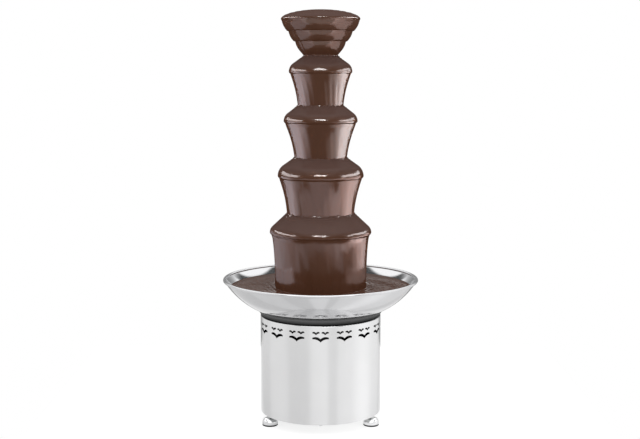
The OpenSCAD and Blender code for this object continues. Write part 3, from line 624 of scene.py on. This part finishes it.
@dataclass
class Tier:
    """Sizes of one tier and its curtain in millimetres, with the slope in degrees."""

    name: str
    lip_r: float
    lip_z: float
    slope: float
    edge: float
    start_r: float
    foot_r: float
    bend: Point = (0.2, 0.5)
    coat: float = 2.2
    sheet: float = 2.2

    def cone(self, r: float, above: float) -> float:
        """Height of the tier's cone, a straight line that touches the rounded lip.

        Args:
            r: Radius at which it is asked for.
            above: Distance outside the metal.

        Returns:
            The height.
        """
        s = math.radians(self.slope)
        reach = self.edge + above
        touch_r = self.lip_r - self.edge + reach * math.sin(s)
        return self.lip_z + reach * math.cos(s) + (touch_r - r) * math.tan(s)

    def dome(self, above: float) -> Array:
        """Outline of the dome: its cone, then the arc of its lip.

        Args:
            above: Distance outside the metal.

        Returns:
            Points from the dome's start to its lip.
        """
        edge = arc((self.lip_r - self.edge, self.lip_z), self.edge + above, 90.0 - self.slope, 0.0, 24)
        return np.concatenate([[[self.start_r, self.cone(self.start_r, above)]], edge])


@dataclass
class Cascade:
    """The chocolate on the tiers: a coat on each dome that leaves its lip as a curtain.

    Lengths are in millimetres, the ends of the curl in degrees, and the landing is in thicknesses of the sheet.
    """

    tiers: tuple[Tier, ...]
    pool_z: float
    finish: Material
    turns: int = 288
    outer_points: int = 240
    inner_points: int = 50
    gap: float = 0.25
    dip: float = 0.8
    curl_r: float = 3.4
    curl: Point = (-6.0, -78.0)
    under: float = 1.8
    tuck: Point = (4.8, 10.0)
    soften: float = 2.2
    landing: float = 1.3
    ring_h: float = 0.7
    ring_reach: float = 9.0
    ring_pitch: float = 5.2
    wobble: float = 1.6
    splash_h: float = 0.55
    splash_reach: float = 4.0
    splash_slant: float = 0.03
    fine_streak: float = 0.16
    broad_streak: float = 0.22
    streak_growth: float = 30.0
    swirl: float = 0.0025
    lip_swell: float = 0.25
    lip_reach: float = 7.0
    start_fade: float = 2.0

    def outline(self, k: int) -> tuple[Array, Array]:
        """Outer and inner paths of one coat and its curtain.

        Args:
            k: Index of the tier from the top.

        Returns:
            The outer path from the dome's start down to the curtain's foot, and the inner path back up.
        """
        tier = self.tiers[k]
        lip, inside = tier.lip_r + tier.coat, tier.foot_r - tier.sheet
        fall = np.array([lip - self.tuck[0], tier.lip_z - self.tuck[1]])
        foot_z = inner_z = self.pool_z - self.dip
        if k + 1 < len(self.tiers):
            foot_z = self.tiers[k + 1].cone(tier.foot_r, tier.coat) - self.dip
            inner_z = self.tiers[k + 1].cone(inside, tier.coat) - self.dip
        curl = arc((lip - self.curl_r, tier.lip_z), self.curl_r, *self.curl, 14)
        curtain = self.hang(fall, np.array([tier.foot_r, foot_z]), tier.bend)
        outer = np.concatenate([tier.dome(tier.coat), curl, curtain])
        back = [[inside, inner_z], fall - [tier.sheet, 0.0], [tier.lip_r + self.gap, tier.lip_z - self.under]]
        inner = np.concatenate([back, tier.dome(self.gap)[::-1]])
        return resample(outer, self.outer_points, self.soften), resample(inner, self.inner_points)

    def hang(self, fall: Array, foot: Array, bend: Point) -> Array:
        """A curtain's side view: a Bezier curve (1 - s)^2 a + 2 s (1 - s) c + s^2 b that steepens as it falls.

        Args:
            fall: Point a at the top.
            foot: Point b at the bottom.
            bend: Place of the point c between the foot and the top, as shares of their distances.

        Returns:
            Points along the curve.
        """
        s = np.linspace(0.0, 1.0, 40)[:, None]
        control = foot + (fall - foot) * bend
        return (1.0 - s) ** 2 * fall + 2.0 * s * (1.0 - s) * control + s**2 * foot

    def relief(self, k: int, outer: Array) -> Array:
        """Ripples and streaks of one coat.

        Ring ripples die away from the landing: A exp(-d / L) sin(2 pi d / w + f(t)), with a finer splash
        S exp(-d / M) g(t + c d). Streaks run down the curtain: B g(t + c z), and the lip swells a little: C h(t).

        Args:
            k: Index of the tier from the top.
            outer: Outer path of the coat.

        Returns:
            Displacement along the normal, one row for each point of the path and one column for each angle.
        """
        tier = self.tiers[k]
        t = round_axis(self.turns)
        d = lengths(outer)[:, None]
        run = np.maximum(d - self.landing * tier.sheet, 0.0)
        seed = 100 * (k + 1)
        wobble = self.wobble * waves(seed, np.arange(2, 9), t)
        strength = 0.65 + 0.35 * waves(seed + 1, np.arange(3, 14), t)
        rings = self.ring_h * np.exp(-run / self.ring_reach) * np.sin(TAU * run / self.ring_pitch + wobble) * strength
        slant = t + self.splash_slant * run
        splash = self.splash_h * np.exp(-run / self.splash_reach) * waves(seed + 5, np.arange(12, 48), slant)
        past_lip = d - d[np.argmax(outer[:, 0])]
        swirl = t + self.swirl * (outer[:, 1:2] - tier.lip_z)
        streaks = self.fine_streak * waves(seed + 2, np.arange(9, 34), swirl)
        streaks = streaks + self.broad_streak * waves(seed + 3, np.arange(3, 9), swirl)
        streaks = streaks * np.clip(past_lip / self.streak_growth, 0.0, 1.0)
        lip = self.lip_swell * waves(seed + 4, np.arange(4, 15), t) * np.exp(-((past_lip / self.lip_reach) ** 2))
        return (rings + splash + streaks + lip) * np.clip(d / self.start_fade, 0.0, 1.0)

    def build(self) -> list[Piece]:
        """Builds the coat and curtain of every tier.

        Returns:
            The pieces from the top down.
        """
        made = []
        for k, tier in enumerate(self.tiers):
            outer, inner = self.outline(k)
            moved = outer[:, None, :] + self.relief(k, outer)[:, :, None] * normals(outer)[:, None, :]
            grid = revolve(np.concatenate([moved, repeated(inner, self.turns)]))
            obj = shell(f"flowing_{tier.name}", grid, loop=True)
            made.append(dress_piece(obj, self.finish, Body.TOWER, "chocolate", f"chocolate_{tier.name}"))
        return made


@dataclass
class CrownFlow:
    """The chocolate that wells up in the crown and runs down its bands, in millimetres."""

    finish: Material
    rim_r: float = 72.8
    rim_z: float = 768.4
    rise: float = 18.0
    band_h: float = 19.4
    taper: float = 10.2
    step: float = 2.6
    bands: int = 3
    coat: float = 2.2
    lift: float = 1.2
    collar_r: float = 31.7
    collar_z: float = 703.0
    foot_z: float = 698.9
    neck: float = 0.6
    wall: float = 1.2
    bore_r: float = 26.9
    gap: float = 0.25
    film: float = 0.8
    bulge: float = 1.6
    soften: float = 1.6
    well_h: float = 0.25
    well_pitch: float = 11.0
    wobble: float = 1.2
    streak: float = 0.2
    streak_growth: float = 10.0
    swirl: float = 0.003
    turns: int = 288
    outer_points: int = 260

    def bands_line(self, out: float, drop: float) -> Array:
        """Corners of the stepped bands from the rim down.

        Args:
            out: Distance outside the metal.
            drop: Distance by which each ledge is lowered.

        Returns:
            The corners.
        """
        k = np.arange(self.bands)
        top_r = self.rim_r - k * (self.taper + self.step) + out
        top_z = self.rim_z - k * self.band_h - drop * (k > 0)
        low_z = self.rim_z - (k + 1) * self.band_h - drop
        return np.stack([top_r, top_z, top_r - self.taper, low_z], axis=1).reshape(-1, 2)

    def bulged(self, line: Array) -> Array:
        """Bands that swell between their corners: p(s) = a + (b - a) s + h sin(pi s) n, for s from 0 to 1.

        Args:
            line: Corners of the bands, top and bottom in turn.

        Returns:
            The swollen outline.
        """
        s = np.linspace(0.0, 1.0, 13)[None, :, None]
        top, low = line[0::2, None, :], line[1::2, None, :]
        along = (low - top) / np.linalg.norm(low - top, axis=2, keepdims=True)
        out = np.stack([-along[..., 1], along[..., 0]], axis=2)
        return (top + (low - top) * s + self.bulge * np.sin(np.pi * s) * out).reshape(-1, 2)

    def relief(self, outer: Array) -> Array:
        """Ripples on the dome, A sin(2 pi r / w + f(t)), and streaks down the bands, B g(t + c z).

        Args:
            outer: Outer path.

        Returns:
            Displacement along the normal, with a row for each point of the path and a column for each angle.
        """
        t = round_axis(self.turns)
        r, z = outer[:, 0:1], outer[:, 1:2]
        ripples = self.well_h * np.sin(TAU * r / self.well_pitch + self.wobble * waves(7, np.arange(1, 5), t))
        ripples = ripples * np.clip(r / 20.0, 0.0, 1.0) * np.clip((z - self.rim_z - 6.0) / 8.0, 0.0, 1.0)
        streaks = self.streak * waves(8, np.arange(5, 26), t + self.swirl * z)
        return ripples + streaks * np.clip((self.rim_z - z) / self.streak_growth, 0.0, 1.0)

    def build(self) -> Piece:
        """Builds the welling dome, the coat on the bands and the fill of the crown.

        Returns:
            The piece.
        """
        t = np.radians(np.linspace(89.5, 0.0, 60))
        dome_z = self.rim_z + self.lift + self.rise * np.sin(t)
        dome = np.stack([(self.rim_r + self.coat) * np.cos(t), dome_z], axis=1)
        coat = self.bulged(self.bands_line(self.film, self.film))
        neck_r = self.collar_r + self.neck
        neck = [[neck_r, self.collar_z - 0.1], [neck_r, self.foot_z]]
        outer = resample(np.concatenate([dome, coat, neck]), self.outer_points, self.soften)
        gap, inset = self.gap, self.wall + self.gap
        back = np.concatenate(
            [
                [[self.collar_r + gap, self.foot_z + 1.5], [self.collar_r + gap, self.collar_z - gap]],
                self.bands_line(gap, gap)[::-1],
                [[self.rim_r + gap, self.rim_z + gap]],
                self.bands_line(-inset, -inset),
                [[self.bore_r, self.collar_z + inset], [0.5, self.collar_z + inset]],
            ]
        )
        moved = outer[:, None, :] + self.relief(outer)[:, :, None] * normals(outer)[:, None, :]
        grid = revolve(np.concatenate([moved, repeated(back, self.turns)]))
        obj = shell("flowing_crown", grid, loop=False)
        return dress_piece(obj, self.finish, Body.TOWER, "chocolate", "chocolate_crown")


@dataclass
class Pool:
    """The chocolate in the bowl, in millimetres."""

    finish: Material
    level: float = 261.2
    floor_z: float = 207.4
    floor_r: float = 61.5
    axis_z: float = 351.95
    arc_r: float = 144.5
    hole_r: float = 42.3
    curtain_r: float = 87.6
    calm_r: float = 84.0
    ripple_r: float = 86.0
    edge_gap: float = 0.6
    edge_fade: float = 8.0
    ring_h: float = 0.25
    ring_reach: float = 16.0
    ring_pitch: float = 8.5
    wobble: float = 1.4
    swell_h: float = 0.25
    swirl: float = 0.02
    turns: int = 320

    def build(self) -> Piece:
        """Builds the pool: ripples spread from the curtain, A exp(-|r - c| / L) sin(2 pi (r - c) / w + f(t)).

        Returns:
            The piece.
        """
        edge = self.floor_r + math.sqrt(self.arc_r**2 - (self.axis_z - self.level) ** 2)
        calm = np.linspace(self.hole_r, self.calm_r, 8)
        r = np.concatenate([calm, np.linspace(self.ripple_r, edge - self.edge_gap, 120)])[:, None]
        t = round_axis(self.turns)
        away = r - self.curtain_r
        wobble = self.wobble * waves(51, np.arange(2, 9), t)
        rings = self.ring_h * np.exp(-np.abs(away) / self.ring_reach) * np.sin(TAU * away / self.ring_pitch + wobble)
        swell = self.swell_h * waves(52, np.arange(2, 7), t + self.swirl * r)
        z = self.level + (rings + swell) * np.clip((edge - r) / self.edge_fade, 0.0, 1.0)
        top = np.stack([np.repeat(r, self.turns, axis=1), z], axis=2)
        start = -90.0 + math.degrees(math.acos((self.axis_z - self.level) / self.arc_r))
        wall = arc((self.floor_r, self.axis_z), self.arc_r, start, -90.0, 40)
        under = np.concatenate([wall, [[self.hole_r, self.floor_z]]])
        grid = revolve(np.concatenate([top, repeated(under, self.turns)]))
        obj = shell("chocolate_in_bowl", grid, loop=True)
        return dress_piece(obj, self.finish, Body.BASE, "chocolate", "chocolate_pool")


# Steel


@dataclass
class SpunBowl:
    """The spun bowl with its rolled rim, in millimetres, and in degrees where the bead starts and half its turn."""

    finish: Material
    hole_r: float = 12.3
    floor_r: float = 61.5
    floor_z: float = 205.993
    arc_r: float = 145.956
    wall: float = 1.2
    rim_r: float = 185.0
    bead_r: float = 2.6
    bead_lead: float = 0.8
    bead_half: float = 130.0
    turns: int = 320

    def build(self) -> Piece:
        """Builds the bowl: the underside out to the rim, round the bead, and the inside back to the hole.

        Returns:
            The piece.
        """
        axis_z = self.floor_z + self.arc_r
        mid = self.arc_r - self.wall / 2.0
        lean = math.degrees(math.asin((self.rim_r - self.floor_r) / mid))
        rim_z = axis_z - mid * math.cos(math.radians(lean))
        end = -90.0 + lean - self.bead_lead
        outer = arc((self.floor_r, axis_z), self.arc_r, -90.0, end, 90)
        bead = arc((self.rim_r, rim_z), self.bead_r, lean - self.bead_half, lean + self.bead_half, 40)
        inner = arc((self.floor_r, axis_z), self.arc_r - self.wall, end, -90.0, 90)
        hole = [[self.hole_r, self.floor_z + self.wall], [self.hole_r, self.floor_z]]
        path = np.concatenate([outer, bead, inner, hole])
        obj = shell("spun_bowl", revolve(repeated(path, self.turns)), loop=True)
        return dress_piece(obj, self.finish, Body.BASE, "polished_steel", "bowl")


def dress_piece(obj: Piece, finish: Material, body: Body, slot: str, *nodes: str) -> Piece:
    """Gives a new piece its finish and its body, and hides the CAD nodes that it stands for.

    Args:
        obj: The piece.
        finish: Its material.
        body: The CAD body that carries it.
        slot: Name of the record's material slot; not used.
        nodes: CAD nodes that it replaces.

    Returns:
        The piece.
    """
    obj.data.materials.append(finish)
    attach(obj, body.value)
    if nodes:
        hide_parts(*nodes)
    LOG.info("piece %s: %d faces", obj.name, len(obj.data.polygons))
    return obj


def dress_nodes(finishes: dict[str, Material], own: dict[str, Material]) -> None:
    """Gives every CAD node the finish of its record slot, or its own.

    Args:
        finishes: Material of each slot.
        own: Material of the nodes that differ from their slot.
    """
    slots = {row["node"]: row["material_slot"] for row in frame["record"]["subparts"]}
    for name, obj in frame["nodes"].items():
        obj.data.materials.clear()
        obj.data.materials.append(own.get(name, finishes[slots[name]]))
        LOG.info("node %s: %s", name, slots[name])


# Studio


@dataclass
class Studio:
    """Floor, light and camera: places in metres, the pitch in degrees, the room's ends as parts of a direction."""

    camera_x: float = -0.0011
    camera_distance: float = 2.2
    camera_height: float = 0.66
    pitch: float = 6.98
    lens: float = 64.97
    sensor: float = 36.0
    aim_z: float = 0.45
    drum_r: float = 0.116
    floor_x: Point = (-0.55, 0.55)
    floor_y: Point = (-0.5, 0.6)
    ceiling_rise: Point = (0.25, 0.45)
    back_depth: Point = (0.72, 0.95)
    back_share: float = 0.35

    def camera(self) -> None:
        """Sets the camera in front of the fountain, looking slightly down."""
        data = bpy.data.cameras.new("camera")
        data.sensor_width = self.sensor
        data.lens = self.lens
        data.clip_end = 50.0
        obj = bpy.data.objects.new("camera", data)
        obj.location = (self.camera_x, -self.camera_distance, self.camera_height)
        obj.rotation_euler = (math.radians(90.0 - self.pitch), 0.0, 0.0)
        bpy.context.scene.collection.objects.link(obj)
        bpy.context.scene.camera = obj

    def world(self, ambient: float) -> None:
        """A white world: plain for the camera, and for reflections a room of soft boxes.

        In the room, the walls go from left to right through a ramp on x. Above them hangs a bright ceiling, with
        a dark gap on each side where its soft boxes end, as a ramp on the size of x. The room is darker behind the
        fountain, which draws its edges.

        Args:
            ambient: Strength of the light that it gives to matt surfaces.
        """
        world = bpy.data.worlds.new("studio")
        bpy.context.scene.world = world
        world.use_nodes = True
        tree = NodeTree(world.node_tree)
        axes = tree.axes("Generated")
        walls = tree.levels(tree.maths("MULTIPLY_ADD", axes["X"], 0.5, 0.5), WALLS)
        ceiling = tree.levels(tree.maths("ABSOLUTE", axes["X"]), CEILING)
        high = tree.span(axes["Z"], self.ceiling_rise, eased=True)
        behind = tree.span(axes["Y"], self.back_depth, (1.0, self.back_share), eased=True)
        room = tree.maths("MULTIPLY", tree.mix(Blend.NUMBERS, high, walls, ceiling), behind)
        clear, glossy = tree.rays()
        seen = tree.mix(Blend.NUMBERS, glossy, ambient, room)
        background = tree.nodes["Background"].inputs
        tree.feed(background["Color"], WHITE)
        tree.feed(background["Strength"], tree.mix(Blend.NUMBERS, clear, seen, 1.0))

    def floor(self, albedo: float, glow: float, dim: float) -> None:
        """A white floor that keeps the shadow, and shows the bands of the walls to reflections.

        A floor point at the azimuth a and the distance d shows on a drum of radius R at about a d / (2 d - R). The
        ray that is mirrored there points twice as far round, and behind the drum it is held at half a turn.

        Args:
            albedo: Share of light that it scatters.
            glow: Brightness added where the camera sees it.
            dim: How much darker than the walls its bands are.
        """
        sheet = NodeSheet("floor")
        sheet.nodes.remove(sheet.shader)
        diffuse = sheet.nodes.new("ShaderNodeBsdfDiffuse")
        sheet.feed(diffuse.inputs["Color"], (albedo, albedo, albedo))
        clear, glossy = sheet.rays()
        axes = sheet.axes("Object")
        azimuth = sheet.maths("ARCTAN2", axes["X"], sheet.maths("MULTIPLY", axes["Y"], -1.0))
        away = sheet.maths("MAXIMUM", sheet.length("Object"), self.drum_r)
        share = sheet.maths("DIVIDE", away, sheet.maths("MULTIPLY_ADD", away, 2.0, -self.drum_r))
        ray = sheet.maths("MULTIPLY", azimuth, sheet.maths("MULTIPLY", share, 2.0))
        ray = sheet.maths("MAXIMUM", sheet.maths("MINIMUM", ray, math.pi), -math.pi)
        across = sheet.maths("MULTIPLY_ADD", sheet.maths("SINE", ray), 0.5, 0.5)
        bands = sheet.maths("SUBTRACT", sheet.levels(across, WALLS), dim)
        emission = sheet.nodes.new("ShaderNodeEmission")
        strength = sheet.maths("MULTIPLY_ADD", clear, glow, sheet.maths("MULTIPLY", glossy, bands))
        sheet.feed(emission.inputs["Strength"], strength)
        both = sheet.nodes.new("ShaderNodeAddShader")
        sheet.feed(both.inputs[0], diffuse.outputs["BSDF"])
        sheet.feed(both.inputs[1], emission.outputs["Emission"])
        sheet.surface(both.outputs["Shader"])
        mesh = bpy.data.meshes.new("floor")
        (left, right), (front, back) = self.floor_x, self.floor_y
        corners = [(left, front, 0.0), (right, front, 0.0), (right, back, 0.0), (left, back, 0.0)]
        mesh.from_pydata(corners, [], [(0, 1, 2, 3)])
        mesh.materials.append(sheet.material)
        obj = bpy.data.objects.new("floor", mesh)
        bpy.context.scene.collection.objects.link(obj)

    def lamp(
        self, name: str, aim: Point, size: Point, level: float, colour: Colour = WHITE, away: float = LAMP_RING
    ) -> Piece:
        """A soft rectangular lamp that faces the fountain's middle.

        Args:
            name: Its name.
            aim: Its azimuth from the front towards the right, and its elevation, in degrees.
            size: Its width and height.
            level: Its brightness.
            colour: Its colour.
            away: Its distance.

        Returns:
            The lamp.
        """
        data = bpy.data.lights.new(name, "AREA")
        data.color = colour
        data.shape = "RECTANGLE"
        data.size, data.size_y = size
        data.energy = level * math.pi * size[0] * size[1]
        obj = bpy.data.objects.new(name, data)
        turn, rise = math.radians(aim[0]), math.radians(aim[1])
        flat = away * math.cos(rise)
        obj.location = (flat * math.sin(turn), -flat * math.cos(turn), self.aim_z + away * math.sin(rise))
        obj.rotation_euler = (math.pi / 2.0 - rise, 0.0, turn)
        obj.visible_glossy = False
        bpy.context.scene.collection.objects.link(obj)
        LOG.info("lamp %s at %.2f, %.2f, %.2f", name, *obj.location)
        return obj

    def sheen_lamps(self, crown: Piece, curtains: list[Piece], pool: Piece) -> None:
        """Lamps whose reflections show on the chocolate alone.

        Args:
            crown: The chocolate of the crown.
            curtains: The curtains from the top down.
            pool: The chocolate in the bowl.
        """
        self.show_on(
            curtains,
            self.lamp("left_lip", (-98.0, 16.0), (3.2, 0.55), 60.0, BLUSH),
            self.lamp("right_lip", (98.0, 16.0), (3.2, 0.55), 74.0, BLUSH),
            self.lamp("front_lip", (0.0, 27.0), (1.3, 0.5), 150.0, away=2.6),
        )
        self.show_on(
            [pool],
            self.lamp("sky_sheen", (0.0, 80.0), (3.0, 3.0), 3.6, away=2.4),
            self.lamp("back_sheen", (180.0, 25.0), (3.0, 1.2), 9.0, away=2.4),
        )
        upper, third, lowest = curtains[:2], curtains[2:3], curtains[3:]
        side, table = (-22.0, 1.9), (-32.0, 0.85)
        steps = ((-42.0, 2.1), (-52.0, 5.0), (-62.0, 6.2), (-74.0, 9.0), (-86.0, 12.8), (-99.0, 3.0))
        self.soft_box(upper, "left", steps, -132.0, side, LILAC)
        steps = ((30.0, 2.6), (42.0, 3.6), (52.0, 6.6), (62.0, 7.0), (74.0, 9.0), (86.0, 38.0), (99.0, 17.0))
        self.soft_box(upper, "right", steps, 134.0, side, BLUSH)
        steps = ((-62.0, 2.3), (-74.0, 7.2), (-86.0, 10.1), (-99.0, 13.1))
        self.soft_box(third, "low_left", steps, -132.0, side, LILAC)
        steps = (
            (5.0, 1.8), (16.0, 3.0), (34.0, 4.4), (52.0, 4.8), (64.0, 6.4), (76.0, 11.2), (88.0, 12.0), (99.0, 15.2),
        )
        self.soft_box(third, "low_right", steps, 136.0, side, ROSE)
        self.show_on(third, self.lamp("table_sheen", (0.0, -30.0), (7.0, 1.9), 8.0, LILAC))
        steps = ((-52.0, 2.9), (-62.0, 3.0), (-74.0, 2.3), (-86.0, 3.4), (-99.0, 5.0), (-115.0, 4.6))
        self.soft_box(lowest, "foot_left", steps, -156.0, side, LILAC)
        steps = ((62.0, 2.0), (76.0, 3.0), (88.0, 9.0), (100.0, 20.0), (114.0, 18.0))
        self.soft_box(lowest, "foot_right", steps, 140.0, side, ROSE)
        steps = ((18.0, 3.6), (38.0, 5.4), (58.0, 7.2), (74.0, 11.2), (88.0, 13.0))
        self.soft_box(lowest, "foot_table", steps, 120.0, table, ROSE)
        self.show_on(lowest, self.lamp("low_table_sheen", (0.0, -32.0), (7.0, 0.85), 5.0, LILAC))
        # Strips over the pool that stand for the bowl's wall, a millimetre apart so that none hides another
        for end, azimuth, level, colour in (("left", -88.0, 3.6, LILAC), ("right", 88.0, 2.4, ROSE)):
            for k, width in enumerate((0.2, 0.185, 0.17, 0.155)):
                away = 0.2144 + MM * k
                lamp = self.lamp(f"bowl_{end}_{k}", (azimuth, -53.3), (width, 0.036), level, colour, away)
                self.show_on(lowest, lamp)
        self.show_on(
            [crown],
            self.lamp("crown_sheen", (0.0, -8.0), (2.0, 0.3), 7.0, away=0.55),
            self.lamp("crown_left", (-80.0, -35.0), (2.9, 1.9), 9.0, LILAC),
            self.lamp("crown_right", (80.0, -35.0), (2.9, 1.9), 17.0, ROSE),
            self.lamp("crown_left_lip", (-98.0, 16.0), (3.2, 1.4), 70.0, BLUSH),
            self.lamp("crown_right_lip", (98.0, 16.0), (3.2, 1.4), 85.0, BLUSH),
            self.lamp("crown_front_lip", (0.0, 27.0), (1.3, 0.9), 95.0, away=2.6),
        )

    def soft_box(
        self, pieces: list[Piece], name: str, steps: tuple[Point, ...], outer: float, upright: Point, colour: Colour
    ) -> None:
        """Nested lamps that share their outer edge, so that their light grows in steps towards it.

        Args:
            pieces: The pieces on which they show.
            name: Name of the group.
            steps: Azimuth of each lamp's inner edge in degrees, and its brightness.
            outer: Azimuth of the outer edge.
            upright: Elevation of the lamps' middle in degrees, and their height in metres.
            colour: Their colour.
        """
        made = []
        for k, (inner, level) in enumerate(steps):
            half = math.radians(abs(outer - inner)) / 2.0
            size = (2.0 * LAMP_RING * math.tan(half), upright[1])
            made.append(self.lamp(f"{name}_{k}", ((outer + inner) / 2.0, upright[0]), size, level, colour))
        self.show_on(pieces, *made)

    def show_on(self, pieces: list[Piece], *lamps: Piece) -> None:
        """Lets lamps show as reflections on some pieces only.

        Args:
            pieces: The pieces.
            lamps: The lamps.
        """
        wet = bpy.data.collections.new("wet")
        for piece in pieces:
            wet.objects.link(piece)
        for lamp in lamps:
            lamp.light_linking.receiver_collection = wet
            lamp.visible_glossy = True
            lamp.visible_diffuse = False
            lamp.visible_camera = False

    def build(self) -> None:
        """Sets the camera, the light and the floor."""
        bpy.context.scene.view_settings.view_transform = "Standard"
        self.camera()
        self.world(0.6)
        self.floor(0.5, 0.76, 0.4)
        self.lamp("overhead", (0.0, 75.0), (2.0, 1.6), 0.9)
        self.lamp("left_box", (-60.0, 20.0), (0.9, 1.4), 0.7)
        self.lamp("right_box", (60.0, 20.0), (0.9, 1.4), 1.1)


def make_finishes() -> dict[str, Material]:
    """Builds the material of every slot of the record.

    Returns:
        The materials by slot name, which is also the finish's name.
    """
    brushed, spun, grained = Pattern.BRUSHED, Pattern.SPUN, Pattern.GRAINED
    # Inside the drum, seen through its vents, the steel is painted dark as shade
    inside_drum = (0.1157, 0.03)
    finishes = (
        MetalFinish("drum_steel", (0.83, 0.83, 0.835), (0.80, 0.80, 0.805), 0.19, 0.205, brushed, hollow=inside_drum),
        MetalFinish("polished_steel", (0.69, 0.69, 0.70), (0.65, 0.65, 0.66), 0.05, 0.11, spun),
        MetalFinish("foot_chrome", (0.84, 0.84, 0.85), (0.80, 0.80, 0.81), 0.04, 0.09, spun),
        MetalFinish("zinc_hardware", (0.60, 0.61, 0.60), (0.50, 0.51, 0.51), 0.25, 0.42, grained),
        MetalFinish("dark_steel", (0.20, 0.20, 0.21), (0.15, 0.15, 0.16), 0.35, 0.55, grained),
        MetalFinish("alloy", (0.58, 0.59, 0.60), (0.50, 0.51, 0.52), 0.45, 0.62, grained, 0.0002),
        PolymerFinish(
            "black_rubber", (0.022, 0.022, 0.023), (0.016, 0.016, 0.017), 0.6, 0.8, 900.0, 0.00005, specular=0.05
        ),
        PolymerFinish("black_plastic", (0.022, 0.022, 0.024), (0.016, 0.016, 0.018), 0.28, 0.42, 1500.0, 0.00003),
        PolymerFinish("white_plastic", (0.78, 0.77, 0.73), (0.72, 0.71, 0.67), 0.38, 0.5, 1100.0, 0.00003),
        LensFinish("amber_lens", (0.90, 0.34, 0.03), (0.62, 0.18, 0.01)),
        # Its third colour is the painted sky reflection on faces that look up
        ChocolateFinish(
            "chocolate", (0.118, 0.051, 0.030), (0.104, 0.044, 0.024), (0.128, 0.074, 0.061), 0.15, sheen=0.008
        ),
    )
    return {finish.name: finish.material() for finish in finishes}


def main() -> None:
    """Builds the studio, the finishes and the pieces in order."""
    logging.basicConfig(level=logging.INFO, format="%(message)s")
    studio = Studio()
    studio.build()
    finishes = make_finishes()
    # The gasket's black rubber is painted lighter towards its top, as light falling from above
    gasket = PolymerFinish(
        "gasket", (0.2, 0.2, 0.202), (0.026, 0.026, 0.027), 0.6, 0.8, 900.0, 0.00005, 0.05, painted_light_rise=(0.2085, 0.2165)
    )
    dress_nodes(finishes, {"bowl_gasket": gasket.material()})
    tiers = (
        Tier("curtain_1", 57.9, 672.0, 35.3, 17.3, 31.9, 43.2),
        Tier("curtain_2", 68.0, 579.0, 37.7, 16.5, 41.0, 50.0),
        Tier("curtain_3", 79.9, 474.5, 35.2, 22.8, 47.8, 64.4),
        Tier("curtain_4", 95.2, 366.5, 43.0, 13.0, 62.2, 87.6, (0.1, 0.74)),
    )
    # Its third colour is the painted sky reflection on faces that look up, close to its brown here
    still = ChocolateFinish(
        "still_chocolate", (0.104, 0.044, 0.026), (0.094, 0.038, 0.022), (0.104, 0.046, 0.028), 0.16, sheen=0.06
    )
    pool = Pool(still.material())
    crown = CrownFlow(finishes["chocolate"]).build()
    curtains = Cascade(tiers, pool.level, finishes["chocolate"]).build()
    studio.sheen_lamps(crown, curtains, pool.build())
    SpunBowl(finishes["polished_steel"]).build()


if __name__ == "__main__":
    main()
